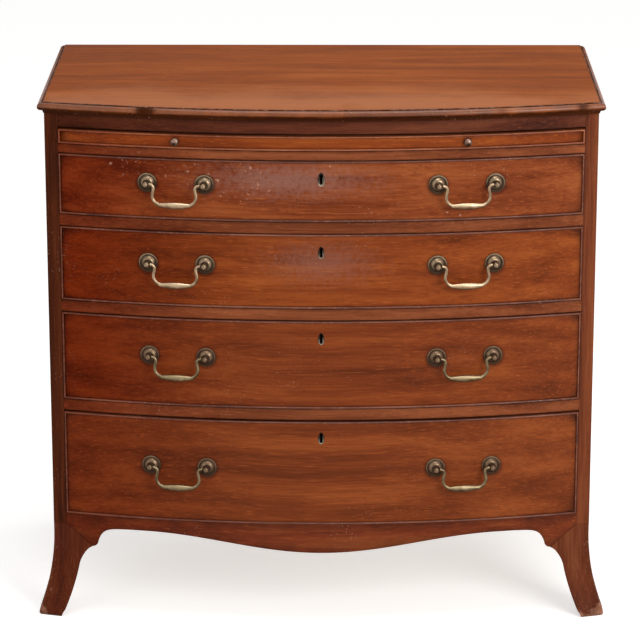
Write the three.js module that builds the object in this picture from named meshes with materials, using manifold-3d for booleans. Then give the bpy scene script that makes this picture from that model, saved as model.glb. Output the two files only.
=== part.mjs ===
// Bow front chest of four drawers with a brushing slide above them.
// Millimetres, +Z up, the front towards -Y, the origin on the floor at the middle of the plan.
// Left and right are as seen by someone standing in front of the chest.

import * as THREE from 'three';
import { mergeVertices } from 'three/addons/utils/BufferGeometryUtils.js';
import Module from 'manifold-3d';

const wasm = await Module();
wasm.setup();

// Clearances
const seatGap = 0.3; // between pieces that are glued, housed or nailed
const runningGap = 0.3; // under a drawer or the slide
const headGaps = [0.9, 0.9, 1.5, 2.8]; // above each drawer, from the top drawer down
const slideHeadGap = 3.3;
const cheekGap = 0.8; // on each side of a drawer or the slide
const stopClearance = 12; // from a closed drawer to the back panel
const overrun = 6; // how far a cutting solid passes the faces it cuts

// Plan of the carcase
const bodyWidth = 929;
const carcaseDepth = 466; // front corner to back, along a side
const bodyBow = 64.3; // how far the middle of the front stands ahead of its corners
const sideThickness = 22.5; // the front edge of a side shows as the stile
const bowFacets = 16;
const facetMarginShare = 1 / 8; // of a facet: no break stands nearer to an end than this

// Heights, from the floor up
const footHeight = 165; // to the lower edge of the sides
const bottomLift = 4; // from there to the underside of the bottom board
const bottomThickness = 16.2;
const fourthOpening = 187.4;
const thirdOpening = 155.6;
const secondOpening = 129.8;
const firstOpening = 105;
const railHeight = 20.8;
const slideRailHeight = 16.5; // under the slide
const slideOpening = 28.1;
const friezeHeight = 23.5;

// Top board and its moulded edge
const sideOverhang = 10.5;
const frontOverhang = 16;
const backOverhang = 3;
const roundRadius = 6.5; // half-round nose
const roundSteps = 6;
const quirkWidth = 2; // sunk line behind the nose
const quirkDepth = 1.1;
const noseDrop = 1.5; // from the top surface to the top of the nose
const coveHeight = 5;
const coveReach = 3;
const coveSteps = 3;

// Back panel
const rebateLip = 9;
const backThickness = 11;
const boardCount = 4;
const grooveWidth = 5;
const grooveDepth = 2.5;

// Rails and dust boards
const railDepth = 58;
const dustThickness = 9;
const housingDepth = 7;
const housingStop = 14; // from the front face to the start of a housing
const stopWidth = 40;
const stopDepth = 14;
const stopHeight = 5;
const stopPlaceShare = 0.55; // of the half opening

// Apron
const apronThickness = 20;
const apronDrop = 32.8; // from the lower edge of the sides down to the middle of the lower edge
const apronRim = 2.7; // and down to its two high stretches
const ogeeReach = 305; // from the middle to the end of the ogee
const shoulderReach = 134.5; // from the side of the chest to the start of the rounded shoulder
const cuspReach = 78.5;
const cuspDrop = 27; // from the lower edge of the sides
const ogeeSteps = 9;
const shoulderShares = [[0, 0], [0.12, 0.55], [0.25, 0.8], [0.5, 0.95], [1, 1]]; // inward and up

// Splayed feet
const kneeReach = 67.5;
const kneeDrop = 38; // from the lower edge of the sides
const ankleDrop = 78;
const ankleWidth = 48.5;
const toeWidth = 43;
const sideSplay = 30.5; // how far the toe stands out past the side
const frontSplay = 27; // and past the front
const splayDrop = 15; // the splay starts this far below the lower edge of the sides
const toeRounding = 4.5; // of the outer faces, at the floor
const toeRise = 7;
const toeChamfer = 4; // of the inner edge, at the floor
const toeChamferRise = 15;
const wingThickness = 24;
const backWingThickness = 18;
const legLevelShares = [0.38, 0.65]; // of ankleHeight
const kneeShares = [[0, 0], [0.2, 0.34], [0.45, 0.68], [0.71, 0.89]]; // inward and up, ankle to knee
const cuspShares = [[0, 0], [0.75, 0.3]]; // inward and up, knee to cusp

// Drawers
const frontThickness = 22;
const beadWidth = 3.2;
const beadProud = 2.6;
const beadRound = 0.7; // taken off each edge of a bead's nose
const liningThickness = 9; // drawer sides
const drawerBackThickness = 9;
const lapThickness = 6; // wood left in front of the lapped dovetails
const liningDrop = 3; // from the top of the front to the top of the sides
const backDrop = 5; // from there to the top of the drawer's back
const panelThickness = 6;
const panelLift = 8;
const panelLet = 4.5; // how far the bottom runs into its grooves
const tailSlopeShare = 1 / 6;
const tailShare = 0.72; // of the pitch of the dovetails
const tailCounts = [2, 3, 3, 4]; // from the top drawer down

// Keyholes
const keyholeDrop = 32; // from the top of the opening
const keyholeRadius = 3.1;
const keyholeSlot = 3.8;
const keyholeFoot = 6;
const keyholeHeight = 16.5;
const keyholeSteps = 5; // along the round of a keyhole

// Handles: turned posts on round plates, and swan-neck bails that hang from them
const handlePlace = 243; // from the middle of the chest to the middle of a handle
const handleSpan = 97; // between the two posts
const plateRadius = 16.5;
const plateEdge = 1.6;
const plateRise = 6.2;
const neckRadius = 3.7;
const neckLength = 4;
const headRadius = 5.2;
const headReach = 14.8; // from the drawer's face to the middle of the head
const headTip = 5.6;
const plateShares = [[0.68, 0.2], [0.5, 0.7]]; // dished step: share out to the rim, share of the rise
const tipShares = [0.7, 0.75]; // rounding of the head: share of its radius, share of its tip
const shankRadius = 2.6;
const shankHole = 3.2;
const nutRadius = 6.5;
const nutThickness = 4;
const postSides = 8;
const pinRadius = 1.7;
const pinHole = 2.25;
const pinRun = 0.6; // the pin's bare length outside the head
const wireRadius = 2.75;
const gripRadius = 6.1;
const bailInset = 13.6; // from a post's middle inwards to the neck
const bailDrop = 34.5;
const gripReach = 36; // from the middle to where the grip has thinned to the wire
const gripPower = 1.6; // of the swelling: the smaller, the fuller the ends of the grip
const bailSides = 6;
const bailSteps = 22;
const neckShares = [[0.1, 0], [0.48, 0], [0.8, 0.03], [1, 0.14], [0.985, 0.3], [0.88, 0.48],
  [0.9, 0.67], [1.14, 0.84], [1.54, 0.955], [2.1, 1]]; // of bailInset and bailDrop
const handleDropShares = [0.41, 0.43, 0.435, 0.47]; // of each opening, from the top drawer down

// Brushing slide
const slideClearance = 55; // from the closed slide to the back panel
const knobRadius = 6.5;
const knobLength = 12;
const knobNeck = 3.4;
const knobSides = 8;
const knobShares = [[0.52, 0.45], [1, 0.68], [0.7, 0.95]]; // of the radius and the length

// Finishes
const finishes = {
  mahogany: { color: 0x7a3418, roughness: 0.42, metalness: 0 },
  darkMahogany: { color: 0x5a2410, roughness: 0.42, metalness: 0 },
  topMahogany: { color: 0x96532f, roughness: 0.36, metalness: 0 },
  oak: { color: 0xa9855a, roughness: 0.7, metalness: 0 },
  pine: { color: 0x8d6b42, roughness: 0.8, metalness: 0 },
  brass: { color: 0xa08a58, roughness: 0.35, metalness: 1 },
  darkBrass: { color: 0x6d5c3c, roughness: 0.45, metalness: 1 },
};

// Places that follow from the sizes above
const halfWidth = bodyWidth / 2;
const openingHalf = halfWidth - sideThickness;
const bowRadius = (halfWidth ** 2 + bodyBow ** 2) / (2 * bodyBow);
const frontReach = bodyBow + frontOverhang;
const backReach = carcaseDepth + backOverhang;
const cornerY = (frontReach - backReach) / 2;
const carcaseBackY = cornerY + carcaseDepth;
const bowCentreY = cornerY + bowRadius - bodyBow;
const bowStep = bodyWidth / bowFacets;
const panelFaceY = carcaseBackY - backThickness;

const apronLow = footHeight - apronDrop;
const apronHigh = footHeight - apronRim;
const cuspHeight = footHeight - cuspDrop;
const kneeHeight = footHeight - kneeDrop;
const ankleHeight = footHeight - ankleDrop;
const splayHeight = footHeight - splayDrop;

const topThickness = noseDrop + 2 * roundRadius + coveHeight;
const bottomTop = footHeight + bottomLift + bottomThickness;
const openings = [firstOpening, secondOpening, thirdOpening, fourthOpening];
const railHeights = [slideRailHeight, railHeight, railHeight, railHeight]; // above each drawer
const floors = [];
let stackHeight = bottomTop;
for (let i = openings.length - 1; i >= 0; i -= 1) {
  floors.unshift(stackHeight);
  stackHeight += openings[i] + railHeights[i];
}
const slideFloor = stackHeight;
const friezeLow = slideFloor + slideOpening;
const friezeHigh = friezeLow + friezeHeight;

const drawerHalf = openingHalf - cheekGap;
const liningHalf = drawerHalf - liningThickness;
const drawerBackY = panelFaceY - stopClearance;
const cheekY = faceY(liningHalf, frontThickness);
const tailTipY = faceY(drawerHalf, 0) + lapThickness;
const shoulderY = cheekY + seatGap;

// The pivot line of a bail: the chord through the heads of its two posts
const postStep = handleSpan / 2 / bowRadius;
const pivotHalf = (bowRadius + headReach) * Math.sin(postStep);
const pivotProud = (bowRadius + headReach) * Math.cos(postStep) - bowRadius;
const pinShoulder = pivotHalf - headRadius - pinRun; // from the middle of the bail

// The y of the bowed front at x, set back by inset
function faceY(x, inset) {
  return bowCentreY - Math.sqrt((bowRadius - inset) ** 2 - x ** 2);
}

// Where the facets of every bowed piece break between two places
function stations(left, right) {
  const margin = bowStep * facetMarginShare;
  const inner = [];
  for (let i = 0; i <= bowFacets; i += 1) {
    const x = -halfWidth + i * bowStep;
    if (x > left + margin && x < right - margin) inner.push(x);
  }
  return [left, ...inner, right];
}

function arc(left, right, inset) {
  return stations(left, right).map((x) => [x, faceY(x, inset)]);
}

// A closed mesh as a solid that can be cut and joined
function solidFrom(positions, faces) {
  let volume = 0;
  const corner = (i) => new THREE.Vector3(...positions.slice(3 * i, 3 * i + 3));
  for (const [a, b, c] of faces) volume += corner(a).dot(corner(b).cross(corner(c)));
  const outward = volume > 0 ? faces : faces.map(([a, b, c]) => [a, c, b]);
  return new wasm.Manifold(new wasm.Mesh({
    numProp: 3,
    vertProperties: new Float32Array(positions),
    triVerts: new Uint32Array(outward.flat()),
  }));
}

function solidOf(geometry) {
  const bare = geometry.clone();
  bare.deleteAttribute('normal');
  bare.deleteAttribute('uv');
  const merged = mergeVertices(bare);
  return new wasm.Manifold(new wasm.Mesh({
    numProp: 3,
    vertProperties: new Float32Array(merged.attributes.position.array),
    triVerts: new Uint32Array(merged.index.array),
  }));
}

function joined(...solids) {
  return solids.reduce((sum, solid) => sum.add(solid));
}

function cutBy(solid, tools) {
  return tools.reduce((rest, tool) => rest.subtract(tool), solid);
}

// The triangles that close a flat ring of corners, wound as the ring is
function ringCap(ring) {
  const normal = new THREE.Vector3();
  ring.forEach((here, i) => {
    const next = ring[(i + 1) % ring.length];
    normal.add(new THREE.Vector3(...here).cross(new THREE.Vector3(...next)));
  });
  const sizes = normal.toArray().map(Math.abs);
  const dropped = sizes.indexOf(Math.max(...sizes));
  const flat = ring.map((corner) => new THREE.Vector2(...corner.filter((_, axis) => axis !== dropped)));
  const winding = Math.sign(THREE.ShapeUtils.area(flat));
  return THREE.ShapeUtils.triangulateShape(flat, []).map(([a, b, c]) => {
    const turn = flat[b].clone().sub(flat[a]).cross(flat[c].clone().sub(flat[a]));
    return Math.sign(turn) === winding ? [a, b, c] : [a, c, b];
  });
}

// A solid whose skin passes through rings of corners, each ring with as many as the next
function loft(rings) {
  const sides = rings[0].length;
  const faces = [];
  for (let i = 0; i < rings.length - 1; i += 1) {
    for (let j = 0; j < sides; j += 1) {
      const a = i * sides + j;
      const b = i * sides + (j + 1) % sides;
      faces.push([a, b, b + sides], [a, b + sides, a + sides]);
    }
  }
  const last = (rings.length - 1) * sides;
  for (const [a, b, c] of ringCap(rings[0])) faces.push([a, c, b]);
  const closing = ringCap(rings[rings.length - 1]);
  for (const corners of closing) faces.push(corners.map((corner) => last + corner));
  return solidFrom(rings.flat(2), faces);
}

function extruded(outline, depth, matrix) {
  const shape = Array.isArray(outline)
    ? new THREE.Shape(outline.map(([a, b]) => new THREE.Vector2(a, b)))
    : outline;
  const settings = { depth, bevelEnabled: false, curveSegments: keyholeSteps };
  return solidOf(new THREE.ExtrudeGeometry(shape, settings).applyMatrix4(matrix));
}

// An outline in plan, raised from low to high
function prism(outline, low, high) {
  return extruded(outline, high - low, new THREE.Matrix4().makeTranslation(0, 0, low));
}

// An outline of y and z, carried from left to right
function alongX(outline, left, right) {
  const turn = new THREE.Matrix4().makeBasis(
    new THREE.Vector3(0, 1, 0), new THREE.Vector3(0, 0, 1), new THREE.Vector3(1, 0, 0),
  );
  return extruded(outline, right - left, turn.setPosition(left, 0, 0));
}

// An outline of x and z, carried from near to far
function alongY(outline, near, far) {
  const turn = new THREE.Matrix4().makeBasis(
    new THREE.Vector3(1, 0, 0), new THREE.Vector3(0, 0, 1), new THREE.Vector3(0, -1, 0),
  );
  return extruded(outline, far - near, turn.setPosition(0, far, 0));
}

function box(left, right, near, far, low, high) {
  return prism([[left, near], [right, near], [right, far], [left, far]], low, high);
}

// A turned solid: profile of radius and reach, its axis pointing out of the front at the origin
function turned(profile, sides, matrix) {
  const points = profile.map(([radius, reach]) => new THREE.Vector2(radius, reach));
  const geometry = new THREE.LatheGeometry(points, sides);
  geometry.rotateX(Math.PI);
  return solidOf(geometry.applyMatrix4(matrix));
}

// The place on the bow at an angle from its middle, with +X along the bow and -Y out of it
function onBow(angle, proud) {
  const radius = bowRadius + proud;
  const place = new THREE.Matrix4().makeRotationZ(angle);
  return place.setPosition(radius * Math.sin(angle), bowCentreY - radius * Math.cos(angle), 0);
}

function raised(place, height) {
  return place.premultiply(new THREE.Matrix4().makeTranslation(0, 0, height));
}

function piece(name, solid, finish) {
  const { vertProperties, triVerts } = solid.getMesh();
  const indexed = new THREE.BufferGeometry();
  indexed.setAttribute('position', new THREE.BufferAttribute(vertProperties, 3));
  indexed.setIndex(new THREE.BufferAttribute(triVerts, 1));
  const geometry = indexed.toNonIndexed();
  geometry.computeVertexNormals();
  const mesh = new THREE.Mesh(geometry, new THREE.MeshStandardMaterial(finishes[finish]));
  mesh.name = name;
  return mesh;
}

// Top board: rings in plan that follow the moulding from its underside to the top surface
function topRing(setIn, z) {
  const half = halfWidth + sideOverhang - setIn;
  const wide = halfWidth + sideOverhang;
  const front = stations(-wide, wide).map((x) => {
    const place = x * half / wide;
    return [place, faceY(place, setIn - frontOverhang), z];
  });
  return [[-half, carcaseBackY + backOverhang, z], ...front, [half, carcaseBackY + backOverhang, z]];
}

function topBoard() {
  const high = friezeHigh + topThickness;
  const noseMiddle = high - noseDrop - roundRadius;
  const rings = [];
  for (let i = 0; i < coveSteps; i += 1) {
    const angle = (i / coveSteps) * Math.PI / 2;
    const setIn = roundRadius + coveReach * Math.cos(angle);
    rings.push(topRing(setIn, friezeHigh + coveHeight * Math.sin(angle)));
  }
  for (let i = 0; i <= roundSteps; i += 1) {
    const angle = (i / roundSteps - 1 / 2) * Math.PI;
    rings.push(topRing(roundRadius * (1 - Math.cos(angle)), noseMiddle + roundRadius * Math.sin(angle)));
  }
  rings.push(topRing(roundRadius + quirkWidth / 2, high - noseDrop - quirkDepth));
  rings.push(topRing(roundRadius + quirkWidth, high));
  return piece('top_board', loft(rings), 'topMahogany');
}

// A housing in the sides, and the tongue of a rail or board that fills it
function housingCut(side, low, high) {
  const near = faceY(openingHalf, housingStop) - seatGap;
  const inner = side * (openingHalf - overrun);
  const outer = side * (openingHalf + housingDepth);
  const [left, right] = side > 0 ? [inner, outer] : [outer, inner];
  return box(left, right, near, panelFaceY + overrun, low - seatGap, high + seatGap);
}

function carcaseSide(name, side) {
  const rebate = halfWidth - rebateLip;
  const outline = [
    [halfWidth, cornerY],
    [halfWidth, carcaseBackY],
    [rebate, carcaseBackY],
    [rebate, panelFaceY],
    [openingHalf, panelFaceY],
    [openingHalf, faceY(openingHalf, 0)],
  ].map(([x, y]) => [side * x, y]);
  const housings = [housingCut(side, bottomTop - dustThickness, bottomTop)];
  for (let i = 0; i < openings.length; i += 1) {
    const high = floors[i] + openings[i] + railHeights[i];
    housings.push(housingCut(side, high - dustThickness, high));
  }
  housings.push(housingCut(side, friezeHigh - dustThickness, friezeHigh + overrun));
  const board = prism(outline, footHeight, friezeHigh - seatGap);
  return piece(name, cutBy(board, housings), 'darkMahogany');
}

// Boards with their ends let into the sides: the plan behind the bow, between two insets
function housedPlan(inset) {
  const half = openingHalf - seatGap;
  const tongue = openingHalf + housingDepth - seatGap;
  const near = Math.max(faceY(openingHalf, housingStop), faceY(half, inset) + seatGap);
  const far = panelFaceY - seatGap;
  return [...arc(-half, half, inset), [half, near], [tongue, near], [tongue, far], [-tongue, far],
    [-tongue, near], [-half, near]];
}

function railPlan() {
  const half = openingHalf - seatGap;
  return [...arc(-half, half, 0), ...arc(-half, half, railDepth).reverse()];
}

// Blocks that a closed drawer's front comes to rest against
function drawerStops(floor) {
  return [-1, 1].map((side) => {
    const middle = side * stopPlaceShare * openingHalf;
    const near = faceY(Math.abs(middle) + stopWidth / 2, frontThickness) + seatGap;
    return box(middle - stopWidth / 2, middle + stopWidth / 2, near, near + stopDepth,
      floor - dustThickness, floor + stopHeight);
  });
}

function divider(name, high, thickness, stops) {
  const rail = prism(railPlan(), high - thickness, high);
  const dustBoard = prism(housedPlan(railDepth / 2), high - dustThickness, high);
  return piece(name, joined(rail, dustBoard, ...stops), 'mahogany');
}

function friezeRail() {
  const high = friezeHigh - seatGap;
  const rail = prism(railPlan(), friezeLow, high);
  const near = faceY(openingHalf, housingStop);
  const far = faceY(openingHalf, railDepth);
  const tongue = openingHalf + housingDepth - seatGap;
  const ends = [-1, 1].map((side) => {
    const inner = side * (openingHalf - seatGap - overrun);
    const [left, right] = side > 0 ? [inner, side * tongue] : [side * tongue, inner];
    return box(left, right, near, far, friezeHigh - dustThickness, high);
  });
  return piece('frieze_rail', joined(rail, ...ends), 'mahogany');
}

function bottomBoard() {
  const inset = apronThickness + seatGap;
  const full = [...arc(-openingHalf + seatGap, openingHalf - seatGap, inset),
    [openingHalf - seatGap, panelFaceY - seatGap], [-openingHalf + seatGap, panelFaceY - seatGap]];
  const board = prism(full, bottomTop - bottomThickness, bottomTop);
  const tongues = prism(housedPlan(inset), bottomTop - dustThickness, bottomTop);
  return piece('bottom_board', joined(board, tongues, ...drawerStops(bottomTop)), 'oak');
}

// Back panel: upright boards, with a sunk line where two boards meet
function backPanel() {
  const half = halfWidth - rebateLip - seatGap;
  const near = panelFaceY + seatGap;
  const seams = [];
  for (let i = boardCount - 1; i > 0; i -= 1) {
    const x = -half + (2 * half * i) / boardCount;
    seams.push([x + grooveWidth / 2, carcaseBackY], [x, carcaseBackY - grooveDepth],
      [x - grooveWidth / 2, carcaseBackY]);
  }
  const outline = [[-half, near], [half, near], [half, carcaseBackY], ...seams, [-half, carcaseBackY]];
  return piece('back_panel', prism(outline, footHeight, friezeHigh - seatGap), 'pine');
}

// Distance from the side of the chest to the inner edge of a foot, at a height
function splay(reach, z) {
  const lift = Math.max(0, 1 - z / splayHeight);
  const toe = z < toeRise ? toeRounding * (1 - z / toeRise) : 0;
  return reach * lift ** 2 - toe;
}

function between(low, high, share) {
  return low + (high - low) * share;
}

// The lower edge from toe to knee to cusp to shoulder, as distances from the side and heights
function legLevels() {
  const leg = [0, toeRise, toeChamferRise, ...legLevelShares.map((share) => share * ankleHeight)];
  return leg.map((z) => {
    const chamfer = toeChamfer * Math.max(0, 1 - z / toeChamferRise);
    const width = between(toeWidth, ankleWidth, z / ankleHeight) - chamfer;
    return [width - splay(sideSplay, Math.max(z, toeRise)), z];
  });
}

function kneeLevels() {
  const ankle = ankleWidth - splay(sideSplay, ankleHeight);
  return kneeShares.map(([inward, up]) => [
    between(ankle, kneeReach, inward),
    between(ankleHeight, kneeHeight, up),
  ]);
}

function cuspLevels() {
  return cuspShares.map(([inward, up]) => [
    between(kneeReach, cuspReach, inward),
    between(kneeHeight, cuspHeight, up),
  ]);
}

function shoulderLevels() {
  return shoulderShares.map(([inward, up]) => [
    between(cuspReach, shoulderReach, inward),
    between(cuspHeight, apronHigh, up),
  ]);
}

// The slanting joint between apron and foot runs from the knee up to the inner edge of the stile
const jointRun = kneeReach - sideThickness;
const jointRise = footHeight - kneeHeight;
const jointGap = seatGap * Math.hypot(jointRun, jointRise) / jointRise;

function apron() {
  const halfEdge = [];
  for (let i = 0; i < ogeeSteps; i += 1) {
    const share = i / ogeeSteps;
    halfEdge.push([ogeeReach * share, between(apronLow, apronHigh, (1 - Math.cos(Math.PI * share)) / 2)]);
  }
  halfEdge.push([ogeeReach, apronHigh]);
  const outer = [...cuspLevels(), ...shoulderLevels()].reverse();
  for (const [reach, z] of outer) halfEdge.push([halfWidth - reach, z]);
  halfEdge.push([openingHalf - seatGap, footHeight - seatGap]);
  const mirrored = halfEdge.slice(1).reverse().map(([x, z]) => [-x, z]);
  const rings = [...mirrored, ...halfEdge].map(([x, z]) => [
    [x, faceY(x, 0), z],
    [x, faceY(x, 0), bottomTop],
    [x, faceY(x, apronThickness), bottomTop],
    [x, faceY(x, apronThickness), z],
  ]);
  return piece('apron', loft(rings), 'mahogany');
}

// Feet: two wings that meet at the corner of the chest, and a leg that is solid below the knee
function foot(name, side, atFront) {
  const levels = [...legLevels(), ...kneeLevels(), ...cuspLevels(), ...shoulderLevels(),
    [shoulderReach, footHeight - seatGap]];
  const rings = levels.map(([distance, z]) => {
    const outer = halfWidth + splay(sideSplay, z);
    const slant = kneeReach - jointGap - jointRun * (z - kneeHeight) / jointRise;
    const inner = halfWidth - (atFront && z >= kneeHeight ? slant : distance);
    const forward = atFront ? splay(frontSplay, z) : 0;
    const faceAt = (x, inset) => (atFront ? faceY(x, inset) - forward : carcaseBackY - inset);
    const deep = atFront ? cornerY + distance : carcaseBackY - distance;
    const wing = atFront ? wingThickness : backWingThickness;
    const hollow = Math.min(1, Math.max(0, (z - ankleHeight) / (kneeHeight - ankleHeight)));
    const sideWing = outer - sideThickness + 2 * jointGap;
    return [
      [inner, faceAt(inner, 0)],
      [outer, faceAt(outer, 0)],
      [outer, deep],
      [between(between(inner, outer, 1 / 2), sideWing, hollow), deep],
      [between(inner, sideWing, hollow), between(deep, faceAt(sideWing, wing), hollow)],
      [inner, between(between(faceAt(inner, 0), deep, 1 / 2), faceAt(inner, wing), hollow)],
    ].map(([x, y]) => [side * x, y, z]);
  });
  return piece(name, loft(rings), 'darkMahogany');
}

// A bowed front with a cockbead round its face, back to a line given by backAt
function beadedFront(low, high, backAt) {
  const nose = [0, beadRound, beadWidth - beadRound, beadWidth];
  const ends = nose.map((setIn) => drawerHalf - setIn);
  const middle = stations(-ends[3], ends[3]).slice(1, -1);
  const inward = middle.filter((x) => Math.abs(x) < liningHalf - bowStep * facetMarginShare);
  const places = [...ends.map((x) => -x), -liningHalf, ...inward, liningHalf, ...[...ends].reverse()];
  return loft(places.map((x) => {
    const end = ends.findIndex((place) => place === Math.abs(x));
    const bead = end === 0 ? 0 : -beadProud;
    const field = end === 1 || end === 2 ? -beadProud : 0;
    return [
      [backAt(x), low], [faceY(x, 0), low],
      [faceY(x, bead), low + beadRound], [faceY(x, bead), low + beadWidth - beadRound],
      [faceY(x, field), low + beadWidth], [faceY(x, field), high - beadWidth],
      [faceY(x, bead), high - beadWidth + beadRound], [faceY(x, bead), high - beadRound],
      [faceY(x, 0), high], [backAt(x), high],
    ].map(([y, z]) => [x, y, z]);
  }));
}

// Dovetails: the heights of each tail's wide end
function tailRow(low, high, count) {
  const pitch = (high - low) / count;
  return Array.from({ length: count }, (_, i) => {
    const middle = low + (i + 1 / 2) * pitch;
    return [middle - pitch * tailShare / 2, middle + pitch * tailShare / 2];
  });
}

// A socket for one tail, open towards its root, cut into one end of a board and a little past the tip
function socket([low, high], tipY, rootY, side, past) {
  const toRoot = Math.sign(rootY - tipY);
  const taper = (y) => tailSlopeShare * (y - tipY) * toRoot - seatGap;
  const near = tipY - toRoot * past;
  const far = rootY + toRoot * overrun;
  const outline = [
    [far, low + taper(far)],
    [near, low + taper(near)],
    [near, high - taper(near)],
    [far, high - taper(far)],
  ];
  const inner = side * (liningHalf - seatGap);
  const outer = side * (drawerHalf + overrun);
  return alongX(outline, Math.min(inner, outer), Math.max(inner, outer));
}

// The sizes of one drawer that follow from its opening
function drawerSizes(opening, headGap, tails) {
  const low = runningGap;
  const high = opening - headGap;
  const liningTop = high - liningDrop;
  const panelTop = low + panelLift + panelThickness;
  return {
    low,
    high,
    liningTop,
    panelTop,
    frontTails: tailRow(low, liningTop, tails),
    backTails: tailRow(panelTop + seatGap, liningTop - backDrop, tails),
  };
}

function keyhole(z) {
  const shape = new THREE.Shape();
  const drop = Math.sqrt(keyholeRadius ** 2 - (keyholeSlot / 2) ** 2);
  const turn = Math.atan2(-drop, keyholeSlot / 2);
  const middle = z + keyholeHeight / 2 - keyholeRadius;
  shape.moveTo(-keyholeFoot / 2, z - keyholeHeight / 2);
  shape.lineTo(keyholeFoot / 2, z - keyholeHeight / 2);
  shape.lineTo(keyholeSlot / 2, middle - drop);
  shape.absarc(0, middle, keyholeRadius, turn, Math.PI - turn, false);
  shape.closePath();
  return alongY(shape, faceY(0, -overrun), faceY(0, frontThickness + overrun));
}

// Posts stand square to the bow, one each side of a handle's middle
function postAngles(side) {
  const middle = Math.asin(side * handlePlace / bowRadius);
  return [middle - postStep, middle + postStep];
}

function drawerFront(name, opening, sizes, postHeight) {
  const { low, high } = sizes;
  const board = beadedFront(low, high, (x) => faceY(Math.min(Math.abs(x), liningHalf), frontThickness));
  const groove = prism([
    ...arc(-liningHalf, liningHalf, frontThickness - panelLet - seatGap),
    ...arc(-liningHalf, liningHalf, frontThickness + overrun).reverse(),
  ], sizes.panelTop - panelThickness - seatGap, sizes.panelTop + seatGap);
  const sockets = [-1, 1].flatMap((side) => sizes.frontTails.map((tail) => (
    socket(tail, tailTipY, cheekY, side, seatGap)
  )));
  const holes = [-1, 1].flatMap((side) => postAngles(side).map((angle) => {
    const behind = -frontThickness - overrun;
    const hole = [[0, behind], [shankHole, behind], [shankHole, overrun], [0, overrun]];
    return turned(hole, bailSides, raised(onBow(angle, 0), postHeight));
  }));
  const solid = cutBy(board, [groove, ...sockets, ...holes, keyhole(opening - keyholeDrop)]);
  return piece(name, solid, 'mahogany');
}

// A drawer side: lapped tails at the front, through tails at the back, a groove for the bottom
function drawerSide(name, side, sizes) {
  const { low, liningTop, panelTop, frontTails, backTails } = sizes;
  const backShoulder = drawerBackY - drawerBackThickness - seatGap;
  const frontFlare = tailSlopeShare * (shoulderY - tailTipY);
  const backFlare = tailSlopeShare * (drawerBackY - backShoulder);
  const outline = [[shoulderY, low]];
  for (const [a, b] of frontTails) {
    outline.push([shoulderY, a + frontFlare], [tailTipY, a], [tailTipY, b], [shoulderY, b - frontFlare]);
  }
  outline.push([shoulderY, liningTop], [backShoulder, liningTop]);
  for (const [a, b] of [...backTails].reverse()) {
    outline.push([backShoulder, b - backFlare], [drawerBackY, b]);
    outline.push([drawerBackY, a], [backShoulder, a + backFlare]);
  }
  outline.push([backShoulder, panelTop], [drawerBackY, panelTop], [drawerBackY, low]);
  const [left, right] = side > 0 ? [liningHalf, drawerHalf] : [-drawerHalf, -liningHalf];
  const inner = side * (liningHalf - overrun);
  const outer = side * (liningHalf + panelLet);
  const near = shoulderY - seatGap;
  const far = drawerBackY + overrun;
  const groove = box(Math.min(inner, outer), Math.max(inner, outer), near, far,
    panelTop - panelThickness - seatGap, panelTop + seatGap);
  return piece(name, alongX(outline, left, right).subtract(groove), 'oak');
}

function drawerBack(name, sizes) {
  const near = drawerBackY - drawerBackThickness;
  const low = sizes.panelTop + seatGap;
  const board = box(-drawerHalf, drawerHalf, near, drawerBackY, low, sizes.liningTop - backDrop);
  const sockets = [-1, 1].flatMap((side) => sizes.backTails.map((tail) => (
    socket(tail, drawerBackY, near, side, overrun)
  )));
  return piece(name, cutBy(board, sockets), 'oak');
}

function drawerBottom(name, sizes) {
  const half = liningHalf - seatGap;
  const wide = liningHalf + panelLet - seatGap;
  const near = shoulderY + seatGap;
  const outline = [
    ...arc(-half, half, frontThickness - panelLet),
    [half, near], [wide, near], [wide, drawerBackY], [-wide, drawerBackY], [-wide, near], [-half, near],
  ];
  return piece(name, prism(outline, sizes.panelTop - panelThickness, sizes.panelTop), 'oak');
}

// A post: nut inside, shank through the front, stepped plate, neck and pierced head
function handlePost(name, side, end) {
  const behind = -frontThickness - seatGap;
  const profile = [
    [0, behind - nutThickness],
    [nutRadius, behind - nutThickness],
    [nutRadius, behind],
    [shankRadius, behind],
    [shankRadius, seatGap],
    [plateRadius, seatGap],
    [plateRadius, plateEdge],
    ...plateShares.map(([out, up]) => [
      between(neckRadius, plateRadius, out),
      between(plateEdge, plateRise, up),
    ]),
    [neckRadius, plateRise],
    [neckRadius, plateRise + neckLength],
    [headRadius, headReach],
    [headRadius * tipShares[0], headReach + headTip * tipShares[1]],
    [0, headReach + headTip],
  ];
  const middle = Math.asin(side * handlePlace / bowRadius);
  const post = turned(profile, postSides, onBow(middle + end * postStep, 0));
  const bore = [[0, 0], [pinHole, 0], [pinHole, headRadius + overrun], [0, headRadius + overrun]];
  const points = bore.map(([radius, reach]) => new THREE.Vector2(radius, reach));
  const drill = new THREE.LatheGeometry(points, bailSides);
  drill.rotateZ(end * Math.PI / 2);
  drill.translate(end * pivotHalf, 0, 0);
  return piece(name, post.subtract(solidOf(drill.applyMatrix4(onBow(middle, pivotProud)))), 'darkBrass');
}

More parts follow.
